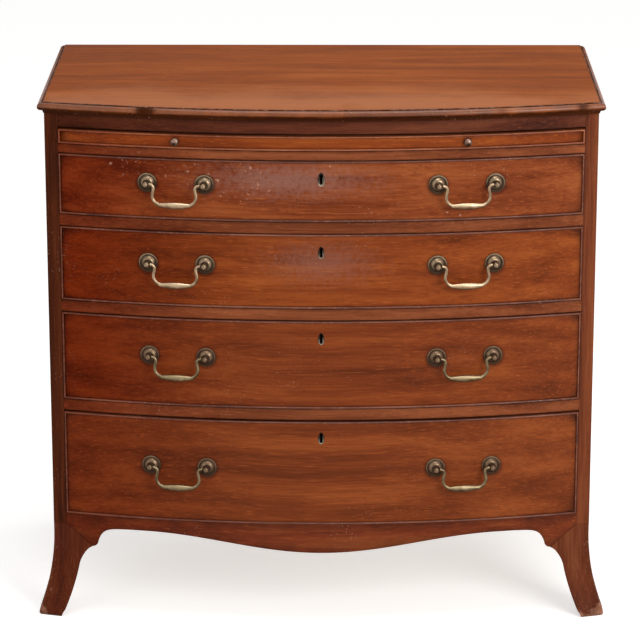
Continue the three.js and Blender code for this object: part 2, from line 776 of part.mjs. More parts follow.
// A bail hangs in its own plane, with its pivot line through the origin
function bail(name) {
  const half = neckShares.map(([inward, down]) => new THREE.Vector3(
    -pivotHalf + inward * bailInset, 0, -down * bailDrop,
  ));
  const mirrored = [...half].reverse().map((point) => new THREE.Vector3(-point.x, point.y, point.z));
  const curve = new THREE.CatmullRomCurve3([...half, ...mirrored]);
  const ringAt = (point, tangent, radius) => Array.from({ length: bailSides }, (_, j) => {
    const angle = (2 * Math.PI * j) / bailSides;
    const across = radius * Math.cos(angle);
    return [point.x - tangent.z * across, radius * Math.sin(angle), point.z + tangent.x * across];
  });
  const wire = [];
  for (let i = 0; i <= bailSteps; i += 1) {
    const point = curve.getPoint(i / bailSteps);
    const nearness = Math.max(0, 1 - Math.abs(point.x) / gripReach);
    const swell = point.z < -bailDrop / 2 ? Math.sin(nearness * Math.PI / 2) ** gripPower : 0;
    if (Math.abs(point.x) < pinShoulder - (wireRadius - pinRadius)) {
      wire.push(ringAt(point, curve.getTangent(i / bailSteps), between(wireRadius, gripRadius, swell)));
    }
  }
  const straight = new THREE.Vector3(1, 0, 0);
  const [left, right] = [-1, 1].map((end) => [-half[0].x, pinShoulder].map((reach) => (
    ringAt(new THREE.Vector3(end * reach, 0, 0), straight, pinRadius)
  )));
  const rings = [...left, ...wire, ...right.reverse()];
  return piece(name, loft(rings), 'brass');
}

function drawer(number, opening, headGap, floor, tails, dropShare) {
  const name = `drawer_${number}`;
  const sizes = drawerSizes(opening, headGap, tails);
  const postHeight = opening * (1 - dropShare);
  const group = new THREE.Group();
  group.position.z = floor;
  group.add(
    drawerFront(`${name}_front`, opening, sizes, postHeight),
    drawerSide(`${name}_side_left`, -1, sizes),
    drawerSide(`${name}_side_right`, 1, sizes),
    drawerBack(`${name}_back`, sizes),
    drawerBottom(`${name}_bottom`, sizes),
  );
  for (const [side, where] of [[-1, 'left'], [1, 'right']]) {
    const handle = new THREE.Group();
    handle.position.z = postHeight;
    for (const [end, hand] of [[-1, 'left'], [1, 'right']]) {
      handle.add(handlePost(`${name}_${where}_handle_${hand}_post`, side, end));
    }
    const hanging = bail(`${name}_${where}_handle_bail`);
    hanging.applyMatrix4(onBow(Math.asin(side * handlePlace / bowRadius), pivotProud));
    handle.add(hanging);
    group.add(handle);
  }
  return group;
}

// Brushing slide: a board that runs in its own slot, with two small knobs
function brushingSlide() {
  const low = runningGap;
  const high = slideOpening - slideHeadGap;
  const board = beadedFront(low, high, () => panelFaceY - slideClearance);
  const profile = [
    [0, -overrun], [knobNeck, -overrun],
    ...knobShares.map(([across, out]) => [knobRadius * across, knobLength * out]),
    [0, knobLength],
  ];
  const knobs = [-1, 1].map((side) => {
    const place = onBow(Math.asin(side * handlePlace / bowRadius), 0);
    return turned(profile, knobSides, raised(place, (low + high) / 2));
  });
  const mesh = piece('brushing_slide', joined(board, ...knobs), 'mahogany');
  mesh.position.z = slideFloor;
  return mesh;
}

const chest = new THREE.Group();
chest.add(
  topBoard(),
  carcaseSide('side_left', -1),
  carcaseSide('side_right', 1),
  backPanel(),
  bottomBoard(),
  friezeRail(),
  divider('slide_divider', slideFloor, slideRailHeight, []),
  apron(),
  foot('foot_front_left', -1, true),
  foot('foot_front_right', 1, true),
  foot('foot_back_left', -1, false),
  foot('foot_back_right', 1, false),
  brushingSlide(),
);
for (let i = 0; i < floors.length - 1; i += 1) {
  chest.add(divider(`drawer_divider_${i + 1}`, floors[i], railHeight, drawerStops(floors[i])));
}

openings.forEach((opening, i) => {
  chest.add(drawer(i + 1, opening, headGaps[i], floors[i], tailCounts[i], handleDropShares[i]));
});

export default chest;
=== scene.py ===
"""Looks of a bow front chest of drawers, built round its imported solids.

The shared frame is in metres, +Z up, with the front towards -Y. The sizes below are in millimetres,
and Workshop.piece turns them when it makes a mesh. Left and right are as seen from the front.
"""

import logging
import math
from dataclasses import dataclass, field, replace
from enum import Enum
from functools import cached_property, partial
from typing import Any, Callable, Optional, Sequence

import bmesh
import bpy
import numpy as np
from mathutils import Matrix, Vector


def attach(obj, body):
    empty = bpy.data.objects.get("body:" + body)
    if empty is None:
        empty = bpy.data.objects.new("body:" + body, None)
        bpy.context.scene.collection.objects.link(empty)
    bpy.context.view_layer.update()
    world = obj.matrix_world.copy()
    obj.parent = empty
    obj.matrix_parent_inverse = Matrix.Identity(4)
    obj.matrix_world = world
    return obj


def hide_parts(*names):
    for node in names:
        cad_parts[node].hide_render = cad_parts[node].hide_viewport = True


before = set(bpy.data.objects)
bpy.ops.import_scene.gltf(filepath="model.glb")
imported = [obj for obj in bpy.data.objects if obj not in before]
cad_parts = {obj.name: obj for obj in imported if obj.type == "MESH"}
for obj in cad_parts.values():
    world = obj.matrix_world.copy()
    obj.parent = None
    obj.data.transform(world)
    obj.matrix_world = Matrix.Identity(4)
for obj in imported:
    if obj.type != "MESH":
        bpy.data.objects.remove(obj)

LOG = logging.getLogger("chest")
MM = 0.001

Array = np.ndarray
Socket = bpy.types.NodeSocket
Adder = Callable[..., Any]
Pair = tuple[float, float]
Triple = tuple[float, float, float]

# Colour and nodes

# Scales of noise, in repeats per metre
WANDER = 5.0  # 200 mm: how the figure of the wood wanders
SWARM = 9.0  # 111 mm: where knocks or dust gather
PATCH = 38.0  # 26 mm: patches of grime
CHIP = 120.0  # 8.3 mm: chips along an edge
GRIT = 700.0  # 1.4 mm: grit of a casting, drawn coarse so that it shows


def linear(code: str) -> tuple[float, float, float, float]:
    """Turns an sRGB hex colour to linear.

    Args:
        code: The colour as "#rrggbb".

    Returns:
        Red, green, blue and an alpha of 1.
    """
    shares = np.array([int(code[i : i + 2], 16) for i in (1, 3, 5)]) / 255
    low, high = shares / 12.92, ((shares + 0.055) / 1.055) ** 2.4
    return (*np.where(shares <= 0.04045, low, high).tolist(), 1.0)


def deeper(code: str, share: float) -> tuple[float, ...]:
    """A hex colour at a share of its brightness, linear."""
    return (*(share * part for part in linear(code)[:3]), 1.0)


def add_node(
    tree: bpy.types.NodeTree,
    kind: str,
    *values: Any,
    out: Any = 0,
    stops: Sequence[tuple[float, str]] = (),
    **named: Any,
) -> Any:
    """Adds one node with its settings and links.

    An input takes a value, another node's output, or an sRGB hex colour.

    Args:
        tree: The node tree.
        kind: The node's type, with its operation or data type after a blank.
        *values: Its first inputs, in order.
        out: The output asked for, by place or name, or None for all of them.
        stops: Places and colours of a colour ramp.
        **named: Other inputs by name, with _ for each blank, and properties in small letters.

    Returns:
        The output.
    """
    kind, _, mode = kind.partition(" ")
    made = tree.nodes.new(f"ShaderNode{kind}")
    if mode:
        named["data_type" if kind == "Mix" else "operation"] = mode
    for name in [name for name in named if name.islower()]:
        setattr(made, name, named.pop(name))
    given = list(zip([socket for socket in made.inputs if socket.enabled], values))
    given += [(made.inputs[name.replace("_", " ")], value) for name, value in named.items()]
    for socket, value in given:
        if isinstance(value, Socket):
            tree.links.new(value, socket)
        else:
            socket.default_value = linear(value) if isinstance(value, str) else value
    for i, (place, colour) in enumerate(stops):
        elements = made.color_ramp.elements
        element = elements[i] if i < 2 else elements.new(place)
        element.position, element.color = place, linear(colour)
    if isinstance(out, int):
        return [socket for socket in made.outputs if socket.enabled][out]
    return made.outputs[out] if out else made.outputs


def emptied(owner: Any) -> Adder:
    """Empties the node tree of a material or world.

    Args:
        owner: The material or world.

    Returns:
        The node helper, bound to the tree.
    """
    owner.use_nodes = True
    owner.node_tree.nodes.clear()
    return partial(add_node, owner.node_tree)


def started(name: str) -> tuple[bpy.types.Material, Adder, Socket]:
    """Starts a material.

    Args:
        name: Its name.

    Returns:
        The material, its node helper, and the place on the piece in metres.
    """
    made = bpy.data.materials.new(name)
    add = emptied(made)
    return made, add, add("TexCoord", out="Object")


class Grain(Enum):
    """The axis that the grain runs along."""

    ALONG_X = 0
    ALONG_Y = 1
    ALONG_Z = 2


def drawn(
    add: Adder, place: Socket, size: Pair, grain: Grain, shift: float = 0.0, **noise: float
) -> Socket:
    """Noise that is long with the grain and narrow across it.

    Args:
        add: The node helper.
        place: Where on the piece.
        size: One repeat with and across the grain, in millimetres.
        grain: The way the grain runs.
        shift: Another place in the log, in millimetres.
        **noise: The noise's own inputs.

    Returns:
        The noise, from 0 to 1.
    """
    scale = [1 / (size[1] * MM)] * 3
    scale[grain.value] = 1 / (size[0] * MM)
    log = (shift * MM * 37, shift * MM * 11, shift * MM * 23)
    mapped = add("Mapping", place, Location=log, Scale=tuple(scale))
    return add("TexNoise", mapped, Scale=1.0, **noise)


# Finishes


@dataclass(frozen=True)
class Mahogany:
    """Cuban mahogany, sawn, scraped and French polished, then waxed for two centuries.

    The eye sees long soft bands of figure, fine dark pores with the grain, a satin polish, and
    grime and a bluish bloom of old wax where a duster doesn't reach. Painted light is drawn into
    the colour too: painted shade in creases, coves and under beads, mixed with the grime; painted
    shade towards the left; painted shadow with the dirt round the handle plates; and painted
    reflection, mixed with the bloom. Sizes are in millimetres.
    """

    name: str
    grain: Grain
    dark: str
    body: str
    light: str
    shift: float = 0.0  # another place in the log
    figure: Pair = (420.0, 26.0)  # one band, with and across the grain
    sway: float = 12.0  # how far the bands wander
    streak: Pair = (240.0, 3.2)
    streak_share: float = 0.32  # how much the streaks count beside the bands
    thread: Pair = (130.0, 1.9)  # a pale line
    thread_share: float = 0.5
    pore: Pair = (15.0, 1.7)  # drawn about twice as coarse as real pores
    pore_share: float = 0.45
    pore_depth: float = 0.4
    line_limits: Pair = (0.6, 0.74)  # noise at which a pore or thread begins and is full
    roughness: float = 0.42
    rough_spread: Pair = (-0.07, 0.09)
    polish: float = 0.08  # strength of the mirror part, 0.5 for a fresh French polish
    painted_shade_left: float = 0.0  # painted shade: how much darker the wood is drawn towards the left, where less light falls
    shade: str = "#c06018"
    shade_span: Pair = (-80.0, -440.0)  # x where it begins and is full
    polish_span: Pair = (-100.0, -400.0)  # x where the polish begins to thin and is thinnest
    flecks: float = 0.4  # how much small knocks show
    fleck_size: float = 3.2
    bloom_and_reflection: float = 0.0  # how much old wax bloom and painted reflection show in the middle of the piece
    bloom_and_reflection_at: Pair = (-60.0, 792.0)  # x and z of its middle
    bloom_and_reflection_size: Pair = (240.0, 52.0)
    bloom_and_reflection_colour: str = "#90665a"
    bloom_and_reflection_grain: float = 120.0  # repeats of its patches per metre
    bloom_and_reflection_flat: bool = False  # whether the bloom lies on a level face, placed by x and y
    plates_at: float = 0.0  # height of the handle plates, with dirt and painted shadow round them, or 0 for none
    plate_pair: float = 48.5  # from the middle of a handle to the middle of its plates
    plate_radius: float = 16.0
    plate_drop: float = 1.5  # how far the dark ring of dirt and painted shadow sits below the plates
    # Grime, also drawn as painted shade in creases, coves and under beads
    grime_and_shade: str = "#220d06"
    # The dark rings round the plates: dirt and painted shadow
    darkening: str = "#30120a"
    knock: str = "#b98a72"
    pit: str = "#3a160b"
    bare: str = "#b58268"

    @cached_property
    def material(self) -> bpy.types.Material:
        """Makes the material, once.

        Returns:
            The material.
        """
        made, add, place = started(self.name)
        wander = add("TexNoise", place, Scale=WANDER, Detail=2.0, out="Color")
        sway = [self.sway * MM] * 3
        sway[self.grain.value] = 0.0
        bent = add("VectorMath SUBTRACT", wander, (0.5, 0.5, 0.5))
        bent = add("VectorMath MULTIPLY_ADD", bent, tuple(sway), place)
        noise = partial(drawn, add, grain=self.grain, shift=self.shift)
        bands = noise(bent, self.figure, Detail=4.0, Roughness=0.55)
        streaks = noise(bent, self.streak, Detail=5.0, Roughness=0.6)
        pores = noise(place, self.pore, Detail=2.0)
        threads = noise(bent, self.thread, Detail=1.0)
        both = add("Mix FLOAT", self.streak_share, bands, streaks)
        stops = (0.35, self.dark), (0.65, self.light), (0.5, self.body)
        colour = add("ValToRGB", both, stops=stops)
        for lines, most, over in (
            (pores, self.pore_share, deeper(self.dark, 0.55)),
            (threads, self.thread_share, deeper(self.light, 1.35)),
        ):
            amount = add("MapRange", lines, *self.line_limits, To_Max=most)
            colour = add("Mix RGBA", amount, colour, over)
        inside = None
        if self.bloom_and_reflection:
            colour, inside = self._wax_and_reflection(add, place, colour)
        colour = self._grime_and_painted_shade(add, place, colour)
        colour = self._knocks(add, place, colour, inside)
        if self.plates_at:
            colour = self._halo(add, place, colour)
        smoothest, roughest = (self.roughness + part for part in self.rough_spread)
        uneven = add("MapRange", bands, To_Min=smoothest, To_Max=roughest)
        sheen = add("Attribute", out="Fac", attribute_name="sheen")
        full, thinnest = self.polish, self.polish * (1 - self.painted_shade_left)
        near, far = (x * MM for x in self.polish_span)
        thin = add("MapRange", add("SeparateXYZ", place), near, far, full, thinnest)
        depth = self.pore_depth * MM
        shader = add(
            "BsdfPrincipled",
            Base_Color=colour,
            Roughness=add("Math MULTIPLY_ADD", sheen, -0.9, uneven),
            IOR=1.5,
            Specular_IOR_Level=add("Math ADD", sheen, thin),
            Normal=add("Bump", Height=pores, Strength=0.12, Distance=depth, invert=True),
        )
        add("OutputMaterial", shader, out=None)
        return made

    def _wax_and_reflection(self, add: Adder, place: Socket, colour: Socket) -> tuple[Socket, Socket]:
        """A patchy bloom of old wax and painted reflection, thickest in the middle of an oval and
        none in the grime.

        Args:
            add: The node helper.
            place: Where on the piece.
            colour: The wood below.

        Returns:
            The colour with bloom and painted reflection, and how far inside the oval each place is.
        """
        (x, z), (wide, tall) = self.bloom_and_reflection_at, self.bloom_and_reflection_size
        axes = np.array([1, self.bloom_and_reflection_flat, not self.bloom_and_reflection_flat])
        middle, size = np.array([x, z, z]), np.array([wide, tall, tall])
        location, scale = tuple(-axes * middle / size), tuple(axes / (size * MM))
        away = add("VectorMath LENGTH", add("Mapping", place, Location=location, Scale=scale))
        inside = add("MapRange", away, From_Min=1.15, From_Max=0.1)
        cloud = add("TexNoise", place, Scale=self.bloom_and_reflection_grain, Detail=5.0, Roughness=0.6)
        thick = add("Math MULTIPLY_ADD", inside, 0.45, cloud)
        thick = add("MapRange", thick, From_Min=0.6, From_Max=0.92, To_Max=self.bloom_and_reflection)
        rim = add("Attribute", out="Fac", attribute_name="rim")
        clear = add("Math MULTIPLY", add("Math SUBTRACT", 1.0, rim, use_clamp=True), inside)
        thick = add("Math MULTIPLY", thick, clear)
        return add("Mix RGBA", thick, colour, self.bloom_and_reflection_colour), inside

    def _grime_and_painted_shade(self, add: Adder, place: Socket, colour: Socket) -> Socket:
        """Grime that gathers beside mouldings, with painted shade in creases, coves and under
        beads, all by the piece's own rim attribute, and painted shade that darkens the wood to the
        left.

        Args:
            add: The node helper.
            place: Where on the piece.
            colour: The clean wood.

        Returns:
            The colour with grime and painted shade.
        """
        rim = add("Attribute", out="Fac", attribute_name="rim")
        patchy = add("TexNoise", place, Scale=PATCH, Detail=3.0)
        amount = add("Math MULTIPLY", rim, patchy)
        amount = add("MapRange", amount, From_Min=0.05, From_Max=0.7, To_Max=0.85)
        colour = add("Mix RGBA", amount, colour, self.grime_and_shade)
        # Painted shade: the wood is drawn darker towards the left, where less light falls.
        if self.painted_shade_left:
            near, far = (x * MM for x in self.shade_span)
            soft = {"To_Max": self.painted_shade_left, "interpolation_type": "SMOOTHSTEP"}
            left = add("MapRange", add("SeparateXYZ", place), near, far, **soft)
            shaded = add("Mix RGBA", 1.0, colour, self.shade, blend_type="MULTIPLY")
            colour = add("Mix RGBA", left, colour, shaded)
        return colour

    def _knocks(
        self, add: Adder, place: Socket, colour: Socket, inside: Optional[Socket]
    ) -> Socket:
        """Small pale knocks in loose swarms, dark pits elsewhere, and bare wood on rubbed edges.

        Args:
            add: The node helper.
            place: Where on the piece.
            colour: The wood below.
            inside: Where the bloom and painted reflection lie, which have more knocks.

        Returns:
            The colour with knocks.
        """
        spots = add("TexNoise", place, Scale=1 / (self.fleck_size * MM), Detail=1.5)
        calm = add("TexNoise", place, Scale=SWARM, Detail=3.0)
        swarm = add("Math MULTIPLY_ADD", inside, 0.12, calm) if inside else calm
        for where, span, most, limits, over in (
            (swarm, (0.54, 0.64), self.flecks, (0.64, 0.76), self.knock),
            (calm, (0.46, 0.38), 0.5 * self.flecks, (0.42, 0.3), self.pit),
        ):
            small = add("MapRange", spots, *limits, To_Max=most)
            amount = add("Math MULTIPLY", small, add("MapRange", where, *span))
            colour = add("Mix RGBA", amount, colour, over)
        rub = add("Attribute", out="Fac", attribute_name="rub")
        chips = add("Math ADD", add("TexNoise", place, Scale=CHIP, Detail=4.0), rub)
        bare = add("MapRange", chips, From_Min=0.85, From_Max=1.25, To_Max=0.8)
        return add("Mix RGBA", bare, colour, self.bare)

    def _halo(self, add: Adder, place: Socket, colour: Socket) -> Socket:
        """Dark rings round the four handle plates: old polish gathered there, and painted shadow.

        The distance to the nearest plate comes from folding the front about its middle and then
        about each handle's middle.

        Args:
            add: The node helper.
            place: Where on the piece.
            colour: The wood below.

        Returns:
            The colour with four soft rings.
        """
        parts = add("SeparateXYZ", place, out=None)
        across, radius = parts[0], self.plate_radius * MM
        for fold in (PLAN.handle_place, self.plate_pair):
            across = add("Math SUBTRACT", add("Math ABSOLUTE", across), fold * MM)
        # The rings sit a little below the plates, where their painted shadow falls.
        up = add("Math SUBTRACT", parts[2], (self.plates_at - self.plate_drop) * MM)
        away = add("VectorMath LENGTH", add("CombineXYZ", across, up))
        soft = {"To_Max": 0.5, "interpolation_type": "SMOOTHSTEP"}
        ring = add("MapRange", away, 1.4 * radius, radius, **soft)
        return add("Mix RGBA", ring, colour, self.darkening)


@dataclass(frozen=True)
class DryWood:
    """Oak or pine, planed and left dry, as inside drawers and on a back.

    The eye sees pale and darker growth bands, a matt face, and dust in the low places.
    """

    name: str
    grain: Grain
    dark: str
    body: str
    light: str
    band: Pair = (380.0, 14.0)
    fibre: Pair = (45.0, 1.9)
    roughness: float = 0.72
    dust: float = 0.25
    dust_colour: str = "#5b4a38"

    @cached_property
    def material(self) -> bpy.types.Material:
        """Makes the material, once.

        Returns:
            The material.
        """
        made, add, place = started(self.name)
        bands = drawn(add, place, self.band, self.grain, Detail=4.0, Distortion=0.6)
        fibres = drawn(add, place, self.fibre, self.grain, Detail=3.0)
        both = add("Mix FLOAT", 0.45, bands, fibres)
        stops = (0.34, self.dark), (0.66, self.light), (0.5, self.body)
        colour = add("ValToRGB", both, stops=stops)
        cloud = add("TexNoise", place, Scale=SWARM, Detail=4.0)
        dusty = add("MapRange", cloud, From_Min=0.45, From_Max=0.75, To_Max=self.dust)
        rough = {"To_Min": self.roughness - 0.1, "To_Max": self.roughness + 0.12}
        shader = add(
            "BsdfPrincipled",
            Base_Color=add("Mix RGBA", dusty, colour, self.dust_colour),
            Roughness=add("MapRange", fibres, **rough),
            IOR=1.5,
            Normal=add("Bump", Height=fibres, Strength=0.25, Distance=0.0006),
        )
        add("OutputMaterial", shader, out=None)
        return made


@dataclass(frozen=True)
class OldMetal:
    """Cast brass or iron, turned or filed, lacquered long ago and now brown in its hollows.

    The eye sees rubbed bright ridges, brown hollows by the piece's own attribute for wear and
    light, and a cloudy patina. The same attribute paints light too: upper sides drawn brighter, as
    if lit from above.
    """

    name: str
    bright: str
    brown: str
    roughness: float
    metallic: float = 1.0
    cloud: float = 90.0  # repeats of the patina per metre

    @cached_property
    def material(self) -> bpy.types.Material:
        """Makes the material, once.

        Returns:
            The material.
        """
        made, add, place = started(self.name)
        cloud = add("TexNoise", place, Scale=self.cloud, Detail=4.0)
        worn = add("Attribute", out="Fac", attribute_name="worn")
        # Rubbed brightness, with painted light where the attribute brightens upper sides
        rubbed = add("Math MULTIPLY_ADD", cloud, 0.75, worn)
        rubbed = add("MapRange", rubbed, From_Min=0.3, From_Max=1.15)
        gloss = {"To_Min": self.roughness + 0.22, "To_Max": self.roughness - 0.04}
        grit = add("TexNoise", place, Scale=GRIT, Detail=2.0)
        shader = add(
            "BsdfPrincipled",
            Base_Color=add("Mix RGBA", rubbed, self.brown, self.bright),
            Metallic=self.metallic,
            Roughness=add("MapRange", rubbed, **gloss),
            Normal=add("Bump", Height=grit, Strength=0.12, Distance=0.0003),
        )
        add("OutputMaterial", shader, out=None)
        return made


Finish = Mahogany | DryWood | OldMetal

# Surfaces


def ramp(x: Any, start: float, end: float) -> Any:
    """A straight rise from 0 at the start to 1 at the end, level outside them."""
    return np.clip((x - start) / (end - start), 0, 1)


def hump(x: Array, middle: float, half: float) -> Array:
    """A bell curve: 1 in its middle, and 1/e at its half width on either side."""
    return np.exp(-np.square((x - middle) / half))


@dataclass
class Shell:
    """A mesh being worked out, in millimetres.

    Attributes:
        points: Places, one row each.
        faces: Corners of each face.
        marks: Values per place that a material reads, by attribute name.
    """

    points: Array
    faces: list[list[int]]
    marks: dict[str, Array] = field(default_factory=dict)

    @staticmethod
    def grid(surface: Array, wrap_rows: bool = False, wrap_columns: bool = False) -> "Shell":
        """The skin of a grid of places: each square of four neighbours is one face.

        Args:
            surface: Places as rows, columns and three coordinates.
            wrap_rows: Whether the last row joins the first.
            wrap_columns: Whether the last column joins the first.

        Returns:
            The skin, with no ends closed.
        """
        rows, columns = surface.shape[:2]
        number = np.arange(rows * columns).reshape(rows, columns)
        number = np.pad(number, ((0, int(wrap_rows)), (0, int(wrap_columns))), mode="wrap")
        near, far = number[:-1], number[1:]
        quads = np.stack([near[:, :-1], near[:, 1:], far[:, 1:], far[:, :-1]], axis=-1)
        return Shell(surface.reshape(-1, 3), quads.reshape(-1, 4).tolist())

    @staticmethod
    def tube(rings: Array) -> "Shell":
        """The skin through closed rings of places, with a face over each end ring.

        Args:
            rings: Places as rings, places round each ring and three coordinates.

        Returns:
            The closed skin.
        """
        made = Shell.grid(rings, wrap_columns=True)
        count, around = rings.shape[:2]
        made.faces += [list(range(around)), list(range((count - 1) * around, count * around))]
        return made

    @staticmethod
    def carried(x: Array, section: Sequence[tuple[Any, Any]]) -> "Shell":
        """A section carried along X: at each x, a closed loop of y and z values.

        Args:
            x: Places across the front.
            section: The y and z of each corner, at every x or the same for all.

        Returns:
            The closed shell.
        """
        corners = [np.stack(np.broadcast_arrays(x, y, z), axis=-1) for y, z in section]
        return Shell.tube(np.stack(corners, axis=1))

    @staticmethod
    def joined(*shells: "Shell") -> "Shell":
        """Several shells as one mesh.

        Args:
            *shells: The shells.

        Returns:
            One shell with every place and face of them.
        """
        faces: list[list[int]] = []
        start = 0
        for shell in shells:
            faces += [[start + corner for corner in face] for face in shell.faces]
            start += len(shell.points)
        marks = {}
        for name in {name for shell in shells for name in shell.marks}:
            parts = [shell.marks.get(name, np.zeros(len(shell.points))) for shell in shells]
            marks[name] = np.concatenate(parts)
        return Shell(np.concatenate([shell.points for shell in shells]), faces, marks)

    def marked(self, name: str, values: Array) -> "Shell":
        """The shell with a value at each place.

        Args:
            name: The attribute's name.
            values: One value for each place, in the places' order.

        Returns:
            The same shell.
        """
        self.marks[name] = np.asarray(values, dtype=float).reshape(-1)
        return self

    def moved(self, turn: Array, place: Array) -> "Shell":
        """The shell turned by a matrix and then carried to a place."""
        return Shell(self.points @ turn.T + place, self.faces, dict(self.marks))


@dataclass
class Workshop:
    """Puts finished shells into the scene and reports them.

    Attributes:
        made: How many pieces it has made.
        crease: Edges that bend more than this, in degrees, stay sharp.
        weld: Places closer than this, in metres, become one.
    """

    made: int = 0
    crease: float = 32.0
    weld: float = 1e-6

    def piece(
        self,
        name: str,
        shell: Shell,
        finish: Finish,
        body: str,
        slot: str,
        replaces: Sequence[str] = (),
        sheet: float = 0.0,
    ) -> None:
        """Makes one piece.

        Args:
            name: The piece's name.
            shell: Its surface.
            finish: The finish that dresses it.
            body: The body it moves with.
            slot: The record's slot that its finish stands for; it is not used.
            replaces: Solids that it stands for.
            sheet: Thickness in millimetres given to an open sheet.
        """
        mesh = bpy.data.meshes.new(name)
        mesh.from_pydata((shell.points * MM).tolist(), [], shell.faces)
        for mark, values in shell.marks.items():
            layer = mesh.attributes.new(mark, "FLOAT", "POINT")
            layer.data.foreach_set("value", values.astype(np.float32))
        work = bmesh.new()
        work.from_mesh(mesh)
        bmesh.ops.remove_doubles(work, verts=work.verts, dist=self.weld)
        bmesh.ops.recalc_face_normals(work, faces=work.faces)
        if sheet and sum(face.normal.y for face in work.faces) > 0:
            bmesh.ops.reverse_faces(work, faces=work.faces)
        work.to_mesh(mesh)
        work.free()
        mesh.polygons.foreach_set("use_smooth", np.ones(len(mesh.polygons), dtype=bool))
        mesh.set_sharp_from_angle(angle=math.radians(self.crease))
        mesh.materials.append(finish.material)
        made = bpy.data.objects.new(name, mesh)
        bpy.context.scene.collection.objects.link(made)
        if sheet:
            wall = made.modifiers.new("thickness", "SOLIDIFY")
            wall.thickness, wall.offset = sheet * MM, -1.0
        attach(made, body)
        if replaces:
            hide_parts(*replaces)
        self.made += 1
        LOG.info("%s: %d faces on %s", name, len(shell.faces), body)

    def dress(self, node: str, finish: Finish) -> None:
        """Gives a solid that stays in view its finish.

        Args:
            node: The solid's name.
            finish: Its finish.
        """
        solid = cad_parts[node]
        solid.data.materials.clear()
        solid.data.materials.append(finish.material)
        LOG.info("%s dressed in %s", node, finish.name)


@dataclass(frozen=True)
class Plan:
    """Plan and heights of the chest that every sub-assembly shares, in millimetres."""

    body_width: float = 929.0
    carcase_depth: float = 466.0
    bow: float = 64.3
    side_thickness: float = 22.5
    front_thickness: float = 22.0
    back_thickness: float = 11.0
    front_overhang: float = 16.0
    side_overhang: float = 10.5
    back_overhang: float = 3.0
    foot_height: float = 165.0
    frieze_top: float = 893.5
    seat_gap: float = 0.3
    running_gap: float = 0.3
    cheek_gap: float = 0.8
    floors: tuple[float, ...] = (720.4, 569.8, 393.4, 185.2)
    openings: tuple[float, ...] = (105.0, 129.8, 155.6, 187.4)
    head_gaps: tuple[float, ...] = (0.9, 0.9, 1.5, 2.8)
    handle_shares: tuple[float, ...] = (0.41, 0.43, 0.435, 0.47)
    handle_place: float = 243.0
    rail_height: float = 20.8
    slide_rail: float = 16.5
    slide_floor: float = 841.9
    slide_opening: float = 28.1
    slide_head_gap: float = 3.3

    @property
    def half(self) -> float:
        """Half the width of the carcase."""
        return self.body_width / 2

    @property
    def opening_half(self) -> float:
        """Half the width of the drawer openings."""
        return self.half - self.side_thickness

    @property
    def seated_half(self) -> float:
        """Half the length of what is fixed between the sides."""
        return self.opening_half - self.seat_gap

    @property
    def drawer_half(self) -> float:
        """Half the width of a drawer."""
        return self.opening_half - self.cheek_gap

    @property
    def radius(self) -> float:
        """Radius of the bowed front."""
        return (self.half**2 + self.bow**2) / (2 * self.bow)

    @property
    def corner_y(self) -> float:
        """The front corners' y: the plan is centred on its whole depth."""
        return (self.bow + self.front_overhang - self.carcase_depth - self.back_overhang) / 2

    @property
    def back_y(self) -> float:
        """The back of the sides."""
        return self.corner_y + self.carcase_depth

    @property
    def panel_y(self) -> float:
        """The inner face of the back panel."""
        return self.back_y - self.back_thickness

    @property
    def centre_y(self) -> float:
        """The y of the bow's centre."""
        return self.corner_y + self.radius - self.bow

    def handle_height(self, drawer: int) -> float:
        """The height of a drawer's handles, counted from 1 at the top: a share down its opening."""
        at = drawer - 1
        return self.floors[at] + self.openings[at] * (1 - self.handle_shares[at])

    def face_y(self, x: Any, inset: Any = 0.0) -> Any:
        """The bow: an arc about its centre, less an inset.

        Args:
            x: Places across the front.
            inset: How far behind the face, or in front of it if negative.

        Returns:
            The y of each place.
        """
        return self.centre_y - np.sqrt((self.radius - inset) ** 2 - np.square(x))

    def on_bow(self, x: float, proud: float, z: float) -> tuple[Array, Array]:
        """A place square to the bow, with +X along it and -Y out of it.

        Args:
            x: The place across the front.
            proud: How far in front of the face.
            z: Its height.

        Returns:
            The turn and the place.
        """
        angle = math.asin(x / self.radius)
        cosine, sine = math.cos(angle), math.sin(angle)
        turn = np.array([[cosine, -sine, 0], [sine, cosine, 0], [0, 0, 1]])
        out = self.radius + proud
        return turn, np.array([out * sine, self.centre_y - out * cosine, z])


PLAN = Plan()


def smooth(knots: Array, count: int) -> Array:
    """A smooth curve through knots: each stretch is a cubic whose end slopes are set by the
    neighbouring knots.

    Args:
        knots: The knots in order, one row each.
        count: Places along the curve.

    Returns:
        The places, one row each.
    """
    ahead = np.concatenate([[2 * knots[0] - knots[1]], knots, [2 * knots[-1] - knots[-2]]])
    at = np.linspace(0, len(knots) - 1, count)
    start = np.minimum(at.astype(int), len(knots) - 2)
    t = (at - start)[:, None]
    p0, p1, p2, p3 = (ahead[start + i] for i in range(4))
    square = (2 * p0 - 5 * p1 + 4 * p2 - p3) * t**2
    return 0.5 * (2 * p1 + (p2 - p0) * t + square + (3 * p1 - p0 - 3 * p2 + p3) * t**3)


def turned(rows: Sequence[Triple], sides: int, upper: float = 0.0) -> Shell:
    """A turned piece: each place of a profile goes round the axis, which points along -Y.

    Args:
        rows: Radius, reach out of the front, and rubbed brightness, one row each.
        sides: Places round the axis.
        upper: Painted light: how much brighter the upper half is drawn, as if lit from above.

    Returns:
        The closed shell, marked with its brightness.
    """
    angle = np.linspace(0, 2 * np.pi, sides, endpoint=False)
    radius, reach, worn = np.array(rows).T[:, :, None]
    across, up = radius * np.cos(angle), radius * np.sin(angle)
    shell = Shell.tube(np.stack([across, -reach + 0 * across, up], axis=-1))
    return shell.marked("worn", worn + upper * np.sin(angle))


